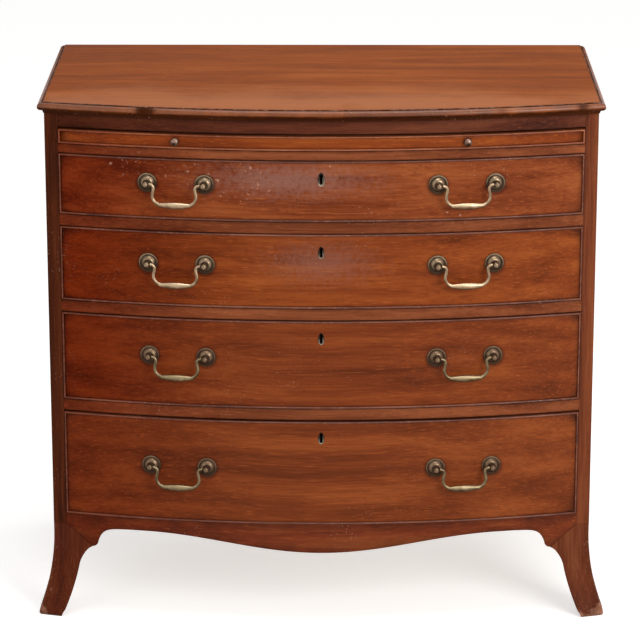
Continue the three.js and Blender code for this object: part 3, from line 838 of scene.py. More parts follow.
def eased_box(corner: Sequence[float], size: Sequence[float], ease: float) -> Shell:
    """A box with its edges taken off: four rings of eight places, the end rings set in.

    Args:
        corner: Its lowest corner.
        size: Its size on each axis.
        ease: What is taken off each edge.

    Returns:
        The closed shell.
    """
    low = np.array(corner, dtype=float)
    high = low + np.array(size)
    rings = []
    for z, inset in ((low[2], ease), (low[2] + ease, 0), (high[2] - ease, 0), (high[2], ease)):
        (x0, y0), (x1, y1) = low[:2] + inset, high[:2] - inset
        x = [x0 + ease, x1 - ease, x1, x1, x1 - ease, x0 + ease, x0, x0]
        y = [y0, y0, y0 + ease, y1 - ease, y1, y1, y1 - ease, y0 + ease]
        rings.append(np.stack([x, y, np.full(8, z)], axis=1))
    return Shell.tube(np.stack(rings))


# Sub-assemblies


@dataclass
class TopBoard:
    """The top: one bowed board with a half-round nose, a sunk line behind it and a cove below."""

    finish: Mahogany
    round_radius: float = 6.5
    quirk_width: float = 2.0
    quirk_depth: float = 1.1
    nose_drop: float = 1.5
    cove_height: float = 5.0
    cove_reach: float = 3.0
    corner_radius: float = 1.6
    corner_steps: int = 7
    steps: int = 160
    quirk_from: float = 908.0  # height above which the sunk line lies
    polish_from: float = 904.0  # height above which the nose is polished
    polish: float = 0.32
    # Dirt and painted shade in the sunk line, by distance in, and stains on the nose, by x:
    # middle, half width and strength
    sunk_dirt_and_shade: Triple = (7.8, 1.9, 2.2)
    stains: tuple[Triple, ...] = ((-292.0, 14.0, 3.0), (300.0, 13.0, 0.8), (436.0, 12.0, 1.4))
    stain_reach: float = 10.0
    # Painted shade in the hollow and below the middle of the nose: height where it begins and
    # is full, and strength
    hollow_shade: Triple = (10.5, 5.5, 2.0)
    nose_underside_shade: Triple = (-0.5, -4.5, 1.2)
    nose_darkening: float = 0.6  # darker all over the nose
    quirk_rub: float = 0.5

    def profile(self) -> Array:
        """The moulding from the underside up: how far each place is set in, and its height.

        A quarter hollow, a half round, a narrow sunk line, and the flat of the top.

        Returns:
            Distance in and height, one row for each place.
        """
        radius, foot = self.round_radius, PLAN.frieze_top
        brow = foot + self.cove_height + 2 * radius
        top, sunk = brow + self.nose_drop, brow - self.quirk_depth
        hollow = np.linspace(0, np.pi / 2, 7)[:-1]
        cove = radius + self.cove_reach * np.cos(hollow), foot + self.cove_height * np.sin(hollow)
        swing = np.linspace(-np.pi / 2, np.pi / 2, 17)
        nose = radius * (1 - np.cos(swing)), brow - radius + radius * np.sin(swing)
        wide, back = self.quirk_width, radius + self.quirk_width
        quirk = [radius + 0.3 * wide, radius + 0.75 * wide, back], [sunk, sunk, top - 0.35]
        flat = [back + 0.5, back + 3, back + 14, back + 40], [top, top, top, top]
        return np.concatenate([np.stack(part, axis=1) for part in (cove, nose, quirk, flat)])

    def outline(self, set_in: Array) -> Array:
        """Plan outlines of the top, each set in by so much.

        The front is the bow, stretched sideways to the set-in width, and the other three sides
        are straight, with the two back corners rounded by a quarter circle.

        Args:
            set_in: Distance in from the edge, one for each outline.

        Returns:
            Outlines, places round each and two coordinates.
        """
        half = (PLAN.half + PLAN.side_overhang - set_in)[:, None]
        x = np.linspace(-1, 1, self.steps) * half
        front = np.stack([x, PLAN.face_y(x, set_in[:, None] - PLAN.front_overhang)], axis=-1)
        far, corner = PLAN.back_y + PLAN.back_overhang, self.corner_radius
        swing = np.linspace(0, np.pi / 2, self.corner_steps)
        side, end = half - corner * (1 - np.cos(swing)), far - corner * (1 - np.sin(swing))
        right = np.stack([side, end + 0 * half], axis=-1)
        left = right[:, ::-1] * np.array([-1, 1])
        return np.concatenate([front, right, left], axis=1)

    def build(self, shop: Workshop) -> None:
        """Makes the top board.

        Args:
            shop: Where it is put together.
        """
        profile = self.profile()
        plans = self.outline(profile[:, 0])
        set_in, high = profile[:, :1], profile[:, 1:]
        across, nosed = plans[:, :, 0], set_in < self.round_radius
        shell = Shell.tube(np.dstack([plans, high + 0 * across]))
        quirk = high > self.quirk_from
        middle, half, depth = self.sunk_dirt_and_shade
        sunk = depth * hump(set_in, middle, half) * quirk
        begin, full, depth = self.hollow_shade
        hollow = depth * ramp(high, PLAN.frieze_top + begin, PLAN.frieze_top + full)
        waist = high.max() - self.nose_drop - self.round_radius
        begin, full, depth = self.nose_underside_shade
        nose = (self.nose_darkening + depth * ramp(high, waist + begin, waist + full)) * nosed
        front = np.arange(across.shape[1]) < self.steps
        stain = sum(depth * hump(across, middle, half) for middle, half, depth in self.stains)
        stain = stain * front * (set_in < self.stain_reach)
        # rim: dirt and painted shade in the sunk line, painted shade in the hollow and under the
        # nose, darker over the whole nose, and stains
        shell.marked("rim", np.maximum(np.maximum(sunk, hollow), np.maximum(nose, stain)))
        arris = np.abs(set_in - self.round_radius - self.quirk_width - 0.2) < 0.4
        shell.marked("rub", self.quirk_rub * arris * quirk + 0 * across)
        glossy = nosed * (high > self.polish_from) * front
        shell.marked("sheen", self.polish * glossy * ramp(stain, 2, 0))
        name, slot = "top_with_moulded_edge", "mahogany_top"
        shop.piece(name, shell, self.finish, "carcase", slot, ["top_board"])


@dataclass
class Rails:
    """The rails between the drawers, each a bowed mahogany rail with a dust board behind it."""

    front: Mahogany
    under_top: Mahogany
    inside: DryWood
    rail_depth: float = 58.0
    dust_thickness: float = 9.0
    stop_size: Triple = (40.0, 14.0, 5.0)
    stop_place: float = 0.55
    stop_ease: float = 0.8
    arris: float = 0.6
    steps: int = 72

    @property
    def across(self) -> Array:
        """Places across a rail."""
        return np.linspace(-PLAN.seated_half, PLAN.seated_half, self.steps)

    def rail(self, low: float, high: float) -> Shell:
        """A bowed rail: a rectangle of y and z carried along the bow, its front edges eased.

        Args:
            low: Its underside.
            high: Its top.

        Returns:
            The rail, marked with grime and painted shade along its two front edges, most on the
            upper one.
        """
        x, ease = self.across, self.arris
        lower = [(self.rail_depth, 0), (ease, 0), (0.15 * ease, ease), (0, 4 * ease)]
        section = [(inset, low + rise) for inset, rise in lower]
        section += [(0, (low + high) / 2)]
        section += [(inset, high - rise) for inset, rise in lower[::-1]]
        shell = Shell.carried(x, [(PLAN.face_y(x, inset), z) for inset, z in section])
        # Grime and painted shade on the lower front edge, and more on the upper, under what sits
        # above
        return shell.marked("rim", np.tile([0, 0.7, 0.7, 0.1, 0, 0.4, 1.4, 1.4, 0], self.steps))

    def dust_board(self, high: float) -> Shell:
        """A dust board: a thin plate from the rail's middle to the back panel.

        Args:
            high: Its top.

        Returns:
            The closed shell.
        """
        x, low = self.across, high - self.dust_thickness
        near, far = PLAN.face_y(x, self.rail_depth), PLAN.panel_y - PLAN.seat_gap
        return Shell.carried(x, [(near, low), (far, low), (far, high), (near, high)])

    def stops(self, floor: float) -> Shell:
        """Two blocks that stop a closed drawer, as eased boxes glued to the dust board.

        Args:
            floor: The top of the dust board.

        Returns:
            Both blocks as one shell.
        """
        wide, deep, tall = self.stop_size
        blocks = []
        for side in (-1, 1):
            middle = side * self.stop_place * PLAN.opening_half
            near = PLAN.face_y(abs(middle) + wide / 2, PLAN.front_thickness) + PLAN.seat_gap
            corner = middle - wide / 2, near, floor - 1
            blocks.append(eased_box(corner, (wide, deep, tall + 1), self.stop_ease))
        return Shell.joined(*blocks)

    def build(self, shop: Workshop) -> None:
        """Makes the frieze rail, the slide's divider and the three drawer dividers.

        Args:
            shop: Where they are put together.
        """
        put = partial(shop.piece, body="carcase")
        low = PLAN.slide_floor + PLAN.slide_opening
        rail = self.rail(low, PLAN.frieze_top - PLAN.seat_gap)
        name, slot = "frieze_rail_bowed", "mahogany_front"
        put(name, rail, self.under_top, slot=slot, replaces=["frieze_rail"])
        names = ["slide_divider", *(f"drawer_divider_{number}" for number in (1, 2, 3))]
        tall = [PLAN.slide_rail] + 3 * [PLAN.rail_height]
        for name, high, thickness in zip(names, [PLAN.slide_floor, *PLAN.floors[:3]], tall):
            rail = self.rail(high - thickness, high)
            put(f"{name}_rail", rail, self.front, slot=slot, replaces=[name])
            board = self.dust_board(high)
            if name != "slide_divider":
                board = Shell.joined(board, self.stops(high))
            put(f"{name}_dust_board", board, self.inside, slot="oak_lining", replaces=[name])


@dataclass
class Base:
    """The shaped apron and the four splayed feet."""

    apron_finish: Mahogany
    foot_finish: Mahogany
    block_finish: DryWood
    apron_thickness: float = 20.0
    apron_low: float = 132.2
    apron_high: float = 162.3
    apron_ease: float = 0.7
    ogee_reach: float = 305.0
    shoulder_reach: float = 134.5
    shoulder_shares: tuple[Pair, ...] = (
        (0.0, 0.0), (0.05, 0.28), (0.12, 0.55), (0.25, 0.8), (0.5, 0.95), (1.0, 1.0)
    )
    cusp_reach: float = 78.5
    cusp_height: float = 138.0
    knee_reach: float = 67.5
    knee_height: float = 127.0
    ankle_height: float = 87.0
    ankle_width: float = 48.5
    toe_width: float = 43.0
    side_splay: float = 30.0
    front_splay: float = 27.0
    splay_height: float = 150.0
    toe_rounding: float = 4.5
    toe_rise: float = 7.0
    toe_heights: tuple[float, ...] = (0.0, 0.8, 2.0, 3.6, 5.4)  # rings in the rounded toe
    toe_chamfer: float = 4.0
    toe_chamfer_rise: float = 15.0
    toe_chips: Pair = (0.2, 0.45)  # on the left and the right feet
    chip_span: Pair = (26.4, 4.4)  # heights where the chips begin and are full
    toe_darkening: Pair = (14.0, 0.5)  # height where the darkening towards the floor begins, and strength
    foot_ease: float = 1.6
    wing: float = 24.0
    back_wing: float = 18.0
    joint_slack: float = 0.03
    block_places: tuple[float, ...] = (-180.0, -60.0, 60.0, 180.0)
    block_low: float = 153.0
    block_size: Triple = (60.0, 15.0, 15.8)
    block_gap: float = 3.5
    block_ease: float = 2.5

    @property
    def joint_run(self) -> float:
        """How far the slanting joint between apron and foot runs sideways."""
        return self.knee_reach - PLAN.side_thickness

    @property
    def joint_rise(self) -> float:
        """How far it rises."""
        return PLAN.foot_height - self.knee_height

    def shoulder(self, count: int) -> tuple[Array, Array]:
        """The rounded shoulder: a smooth curve through named shares of its reach and height.

        Args:
            count: Places along it.

        Returns:
            Distances from the side of the chest, and heights.
        """
        along, up = smooth(np.array(self.shoulder_shares), count).T
        reach = self.cusp_reach + (self.shoulder_reach - self.cusp_reach) * along
        return reach, self.cusp_height + (self.apron_high - self.cusp_height) * up

    def cusp(self) -> tuple[Array, Array]:
        """The short curve from the knee to the cusp: a shallow quarter ellipse.

        Returns:
            Distances from the side of the chest, and heights.
        """
        swing = np.linspace(0, np.pi / 2, 6)
        reach = self.knee_reach + (self.cusp_reach - self.knee_reach) * np.sin(swing)
        return reach, self.knee_height + (self.cusp_height - self.knee_height) * (1 - np.cos(swing))

    def apron_edge(self) -> tuple[Array, Array]:
        """The apron's lower edge: half a cosine from the middle, a level stretch, the rounded
        shoulder, the cusp, and the slanting joint with the foot, then the same to the left.

        Returns:
            Places across the front, and heights.
        """
        share = np.linspace(0, 1, 40)
        wave = self.apron_low + (self.apron_high - self.apron_low) * (1 - np.cos(np.pi * share)) / 2
        (out, rise), (cusp, lift) = self.shoulder(14), self.cusp()
        side = PLAN.half - np.concatenate([out[::-1], cusp[-2::-1]])
        x = np.concatenate([self.ogee_reach * share, side, [PLAN.seated_half]])
        end = PLAN.foot_height - PLAN.seat_gap
        z = np.concatenate([wave, rise[::-1], lift[-2::-1], [end]])
        return np.concatenate([-x[:0:-1], x]), np.concatenate([z[:0:-1], z])

    def apron(self) -> Shell:
        """The apron: its lower edge raised to the bottom board, through its thickness.

        Returns:
            The closed shell, with grime and painted shade on its lower arris and its upper front
            edge.
        """
        x, z = self.apron_edge()
        front, back, top = PLAN.face_y(x), PLAN.face_y(x, self.apron_thickness), PLAN.floors[3]
        low = [(back, z), (PLAN.face_y(x, self.apron_ease), z), (front, z + self.apron_ease)]
        shell = Shell.carried(x, [*low, (front, (z + top) / 2), (front, top), (back, top)])
        # Grime and painted shade on the lower arris, and under the lowest drawer's bead along the
        # top
        return shell.marked("rim", np.tile([0.3, 0.9, 0.7, 0, 0.8, 0], len(x)))

    def splay(self, reach: float, z: Array) -> Array:
        """How far a foot stands out at a height: a parabola that ends at the top of the splay,
        with the toe rounded under.

        Args:
            reach: How far the toe stands out.
            z: Heights.

        Returns:
            Distances out.
        """
        lift = np.clip(1 - z / self.splay_height, 0, None)
        toe = np.clip(1 - z / self.toe_rise, 0, None) ** 2
        return reach * lift**2 - self.toe_rounding * toe

    def foot_edge(self) -> tuple[Array, Array]:
        """The foot's inner edge: the toe, the ankle, a smooth knee, the cusp and the shoulder.

        Returns:
            Distances from the side of the chest, and heights.
        """
        leg_z = np.linspace(self.toe_rise, self.ankle_height, 18)
        leg_z = np.concatenate([self.toe_heights, leg_z])
        leg = self.toe_width + (self.ankle_width - self.toe_width) * leg_z / self.ankle_height
        leg -= self.toe_chamfer * np.clip(1 - leg_z / self.toe_chamfer_rise, 0, None) ** 1.4
        leg -= self.splay(self.side_splay, np.maximum(leg_z, self.toe_rise))
        # The knee is a quarter of a superellipse, which turns out late and fast
        bend = np.linspace(0, 1, 12)[1:]
        knee = leg[-1] + (self.knee_reach - leg[-1]) * (1 - (1 - bend**1.5) ** 0.7)
        knee_z = self.ankle_height + (self.knee_height - self.ankle_height) * bend
        (cusp, lift), (out, rise) = self.cusp(), self.shoulder(10)
        reach = np.concatenate([leg, knee, cusp[1:], out, [self.shoulder_reach]])
        end = PLAN.foot_height - PLAN.seat_gap
        return reach, np.concatenate([leg_z, knee_z, lift[1:], rise, [end]])

    def foot(self, side: int, at_front: bool) -> Shell:
        """A foot: at each height a ring of places that goes from a solid leg to two thin wings.

        The inner edge stops in front at the slanting joint with the apron. The outer arris is
        eased.

        Args:
            side: -1 for the left and 1 for the right.
            at_front: Whether it is a front foot.

        Returns:
            The closed shell.
        """
        distance, z = self.foot_edge()
        outer = PLAN.half + self.splay(self.side_splay, z)
        gap = PLAN.seat_gap * math.hypot(self.joint_run, self.joint_rise) / self.joint_rise
        side_wing = outer - PLAN.side_thickness + 2 * gap
        hollow = ramp(z, self.ankle_height, self.knee_height)
        if at_front:
            rise = (z - self.knee_height) / self.joint_rise
            slant = self.knee_reach - self.joint_slack - self.joint_run * rise
            inner = PLAN.half - np.where(z >= self.knee_height, slant, distance)
            deep, wing, toward = PLAN.corner_y + distance, self.wing, -1.0
        else:
            inner, deep = PLAN.half - distance, PLAN.back_y - distance
            wing, toward = self.back_wing, 1.0

        def face(x: Array, inset: float) -> Array:
            """The face of the foot, in front on the splayed bow and behind on the flat back.

            Args:
                x: Places across.
                inset: How far behind the face.

            Returns:
                The y of each place.
            """
            if at_front:
                return PLAN.face_y(x, inset) - self.splay(self.front_splay, z)
            return PLAN.back_y - inset + 0 * x

        def mix(low: Array, high: Array, part: Any) -> Array:
            """A place between two others."""
            return low + (high - low) * part

        ease, corner, near = self.foot_ease, face(outer, 0), face(inner, 0)
        third = mix(inner, outer, 0.35)
        ring = [
            (inner, near),
            (third, face(third, 0)),
            (outer - ease, face(outer - ease, 0)),
            (outer - 0.3 * ease, corner - toward * 0.3 * ease),
            (outer, corner - toward * ease),
            (outer, deep + toward * 0.4),
            (outer - 0.4, deep),
            (mix(mix(inner, outer, 0.5), side_wing, hollow), deep),
            (mix(inner, side_wing, hollow), mix(deep, face(side_wing, wing), hollow)),
            (inner, mix(mix(near, deep, 0.5), face(inner, wing), hollow)),
        ]
        places = [np.stack([side * x, y, z], axis=-1) for x, y in ring]
        shell = Shell.tube(np.stack(places, axis=1))
        arris = np.array([0.15, 0, 0.3, 0.45, 0.3, 0, 0, 0, 0, 0])
        chipped, (darker_from, darkening) = self.toe_chips[side > 0], self.toe_darkening
        shell.marked("rub", arris + chipped * ramp(z, *self.chip_span)[:, None])
        return shell.marked("rim", np.repeat(darkening * ramp(z, darker_from, 0), len(ring)))

    def blocks(self) -> Shell:
        """Rubbed glue blocks under the bottom board, behind the apron.

        Returns:
            The blocks as one shell.
        """
        made = []
        for x in self.block_places:
            near = PLAN.face_y(x, self.apron_thickness) + self.block_gap
            corner = x - self.block_size[0] / 2, near, self.block_low
            made.append(eased_box(corner, self.block_size, self.block_ease))
        return Shell.joined(*made)

    def build(self, shop: Workshop) -> None:
        """Makes the apron, the feet and the glue blocks.

        Args:
            shop: Where they are put together.
        """
        put = partial(shop.piece, body="carcase")
        apron = self.apron()
        put("apron_shaped", apron, self.apron_finish, slot="mahogany_front", replaces=["apron"])
        for end in ("front", "back"):
            for side, word in ((-1, "left"), (1, "right")):
                name, foot = f"foot_{end}_{word}", self.foot(side, end == "front")
                slot = "mahogany_side"
                put(f"{name}_splayed", foot, self.foot_finish, slot=slot, replaces=[name])
        put("glue_blocks", self.blocks(), self.block_finish, slot="oak_lining")


@dataclass
class Keyhole:
    """A keyhole with its thread escutcheon: a round eye over a slot that widens downwards.

    Attributes:
        middle: The height of its middle.
    """

    middle: float
    radius: float = 3.1
    slot: float = 3.8
    foot: float = 6.0
    height: float = 16.5
    eye_rise: float = 1.3  # from the viewpoint of the outline up to the circle's centre
    ring_half: Pair = (5.4, 10.6)
    ring_drop: float = 0.3
    ring_flare: float = 0.12  # how much wider the oval is at its foot
    ring_width: float = 1.5
    wall_depth: float = 4.0
    field_proud: Triple = (0.32, 0.34, 0.36)  # of the sunk field, from the hole outwards
    # Across the thread: share of its width from the outside, and rise above the field
    thread: tuple[Pair, ...] = ((0.8, 0.4), (0.5, 0.6), (0.2, 0.4))

    @property
    def eye(self) -> float:
        """The height of the centre that its outline is seen from, inside the round eye."""
        return self.middle + self.height / 2 - self.radius - self.eye_rise

    def reach(self, angle: Array) -> Array:
        """How far the outline is from the eye's centre: the circle, or the slot where the
        direction passes between its walls, ended by its foot.

        Args:
            angle: Directions.

        Returns:
            Distances.
        """
        cosine, sine, rise = np.cos(angle), np.sin(angle), self.eye_rise
        along = rise * sine
        circle = along + np.sqrt(np.maximum(self.radius**2 - rise**2 + along**2, 0))
        base = self.eye - (self.middle - self.height / 2)
        down = np.maximum(-sine, 1e-6)
        neck = math.sqrt(self.radius**2 - (self.slot / 2) ** 2) - rise
        slope = (self.foot - self.slot) / 2 / (base - neck)
        room = np.abs(cosine) - slope * down
        wall = np.where(room > 1e-6, (self.slot / 2 - slope * neck) / np.maximum(room, 1e-6), 1e6)
        in_slot = (sine < 0) & (np.abs(cosine) / down < self.slot / 2 / neck)
        return np.where(in_slot, np.minimum(base / down, wall), circle)

    def escutcheon(self) -> Shell:
        """The brass thread: from the keyhole's wall over a sunk field to a rounded oval thread.

        Rows pass from the keyhole's outline to an oval that is a little wider at the foot, each
        at its own height out of the front.

        Returns:
            The shell, marked bright on the thread.
        """
        angle = np.linspace(0, 2 * np.pi, 72, endpoint=False)
        cosine, sine, (wide, tall) = np.cos(angle), np.sin(angle), self.ring_half
        hole = np.stack([-self.reach(angle) * cosine, self.eye + self.reach(angle) * sine])
        flared = -wide * cosine * (1 - self.ring_flare * sine)
        oval = np.stack([flared, self.middle + tall * sine - self.ring_drop])
        away = oval - hole
        length = np.linalg.norm(away, axis=0)
        inner = oval - away / length * np.minimum(self.ring_width, 0.8 * length)
        field_places = hole, 0.5 * (hole + inner), inner
        rows = [(hole, -self.wall_depth), *zip(field_places, self.field_proud)]
        for share, rise in self.thread:
            rows.append((oval + (inner - oval) * share, self.field_proud[-1] + rise))
        rows += [(oval, 0.3), (oval, -0.5)]
        x, z = np.stack([place for place, _ in rows], axis=1)
        out = np.array([proud for _, proud in rows])[:, None]
        skin = np.stack([x, PLAN.face_y(x, -out), z], axis=-1)
        shell = Shell.grid(skin, wrap_rows=True, wrap_columns=True)
        bright = np.array([-0.3, -0.3, -0.2, -0.05, 0.35, 0.3, -0.1, -0.4, -0.4])[:, None]
        return shell.marked("worn", bright - 0.5 * sine - 0.1 * cosine)


@dataclass
class BeadedFace:
    """A bowed face framed by a cockbead, as on each drawer and on the slide.

    Attributes:
        low: The underside of the front.
        high: Its top.
    """

    low: float
    high: float
    bead_width: float = 3.2
    bead_proud: float = 2.7
    bead_foot: float = -0.8
    bead_rub: float = 0.28
    bead_crown: float = 0.7  # height of the rubbed part of its nose
    root_dirt_and_shade: Pair = (2.4, 1.3)  # dirt and painted shade in the bead's root: how high it reaches, and strength
    veneer_proud: float = 0.3
    veneer_lap: float = 0.2  # how far it runs below the bead
    keyhole_gap: float = 0.15
    fine_steps: tuple[float, ...] = (0.0, 2.0, 5.0, 9.0)  # places beside the bead
    # How far grime reaches from the bead's ends, from its long sides and from its corners, and
    # from the ends along the long sides, where it is thicker
    grime_reach: tuple[float, ...] = (3.6, 2.6, 14.0, 60.0)
    window: float = 14.0  # half the square round a keyhole, and the margin with finer steps
    steps: int = 72
    rises: int = 9

    def bead(self) -> Shell:
        """The cockbead: a section with a round nose, carried round a rectangle with mitres.

        Each place is set in from the rectangle by the section's width there, which makes the
        mitres, and pushed out of the bow by the section's height.

        Returns:
            The closed frame, with grime and painted shade in its root.
        """
        along, up = np.linspace(-1, 1, self.steps), np.linspace(-1, 1, self.rises)
        level, side = np.ones(self.steps - 1), np.ones(self.rises - 1)
        round_x = np.concatenate([along[:-1], side, along[:0:-1], -side])[:, None]
        round_z = np.concatenate([-level, up[:-1], level, up[:0:-1]])[:, None]
        width, proud, foot = self.bead_width, self.bead_proud, [self.bead_foot]
        swing = np.linspace(0, np.pi, 9)
        set_in = np.concatenate([[0.0], width / 2 * (1 - np.cos(swing)), [width]])
        out = np.concatenate([foot, proud - width / 2 + width / 2 * np.sin(swing), foot])
        x = round_x * (PLAN.drawer_half - set_in)
        z = (self.low + self.high) / 2 + round_z * ((self.high - self.low) / 2 - set_in)
        skin = np.stack([x, PLAN.face_y(x, -out), z], axis=-1)
        shell = Shell.grid(skin, wrap_rows=True, wrap_columns=True)
        rubbed, (reach, darkening) = self.bead_rub * (out > proud - self.bead_crown), self.root_dirt_and_shade
        shell.marked("rub", np.tile(rubbed, len(round_x)))
        return shell.marked("rim", np.tile(darkening * ramp(out, reach, 0), len(round_x)))

    def veneer(self, keyhole: Keyhole) -> Shell:
        """The veneer inside the bead: an arc in plan and straight upwards, with the keyhole cut.

        The sheet is a grid with a block left out round the keyhole. Rows that pass from the
        block's border to the keyhole's edge fill it, and their outer row is welded to the border.

        Args:
            keyhole: The keyhole.

        Returns:
            An open sheet, with grime marked beside the bead.
        """
        lap, wide = self.bead_width - self.veneer_lap, self.window
        half, low, high = PLAN.drawer_half - lap, self.low + lap, self.high - lap
        edge = np.array(self.fine_steps)
        beside = np.linspace(wide - half, -wide, self.steps // 2)
        inner = np.linspace(-wide, wide, 9)
        x = np.concatenate([edge - half, beside, inner[1:-1], -beside[::-1], half - edge[::-1]])
        below = np.linspace(low + wide, keyhole.middle - wide, 8)
        z = np.concatenate([low + edge, below, keyhole.middle + inner[1:], high - edge[2::-1]])
        whole = self.faced(*np.meshgrid(x, z), half, low, high)
        columns = np.flatnonzero(np.abs(x) < wide + 0.01)
        rows = np.flatnonzero(np.abs(z - keyhole.middle) < wide + 0.01)
        left, right, foot, head = columns[0], columns[-1], rows[0], rows[-1]
        number = np.arange(z.size * x.size).reshape(z.size, x.size)
        inside = set(number[foot:head, left:right].reshape(-1).tolist())
        whole.faces = [face for face in whole.faces if face[0] not in inside]
        upright, back = number[foot:head, right], number[head:foot:-1, left]
        border = [number[foot, left:right], upright, number[head, right:left:-1], back]
        outer_x, _, outer_z = whole.points[np.concatenate(border)].T
        angle = np.arctan2(outer_z - keyhole.eye, outer_x)
        rim = keyhole.reach(angle) + self.keyhole_gap
        share = (np.linspace(0, 1, 9) ** 1.5)[:, None]
        ring_x = rim * np.cos(angle) * (1 - share) + outer_x * share
        ring_z = (keyhole.eye + rim * np.sin(angle)) * (1 - share) + outer_z * share
        return Shell.joined(whole, self.faced(ring_x, ring_z, half, low, high, wrap=True))

    def faced(
        self, x: Array, z: Array, half: float, low: float, high: float, wrap: bool = False
    ) -> Shell:
        """A grid laid on the bow, just proud of the solid, with the grime beside the bead marked.

        Args:
            x: Places across the front.
            z: Their heights.
            half: Half the width of the veneer.
            low: Its foot.
            high: Its head.
            wrap: Whether the last column joins the first.

        Returns:
            The open sheet.
        """
        beside = np.clip(half - np.abs(x), 0, None)
        above = np.clip(np.minimum(z - low, high - z), 0, None)
        end, edge, corner, tail = self.grime_reach
        long_side = (0.4 + 0.5 * np.exp(-beside / tail)) * np.exp(-above / edge)
        rim = np.exp(-beside / end) + long_side + 0.8 * np.exp(-(beside + above) / corner)
        skin = np.stack([x, PLAN.face_y(x, -self.veneer_proud), z], axis=-1)
        return Shell.grid(skin, wrap_columns=wrap).marked("rim", np.clip(rim, 0, 1))


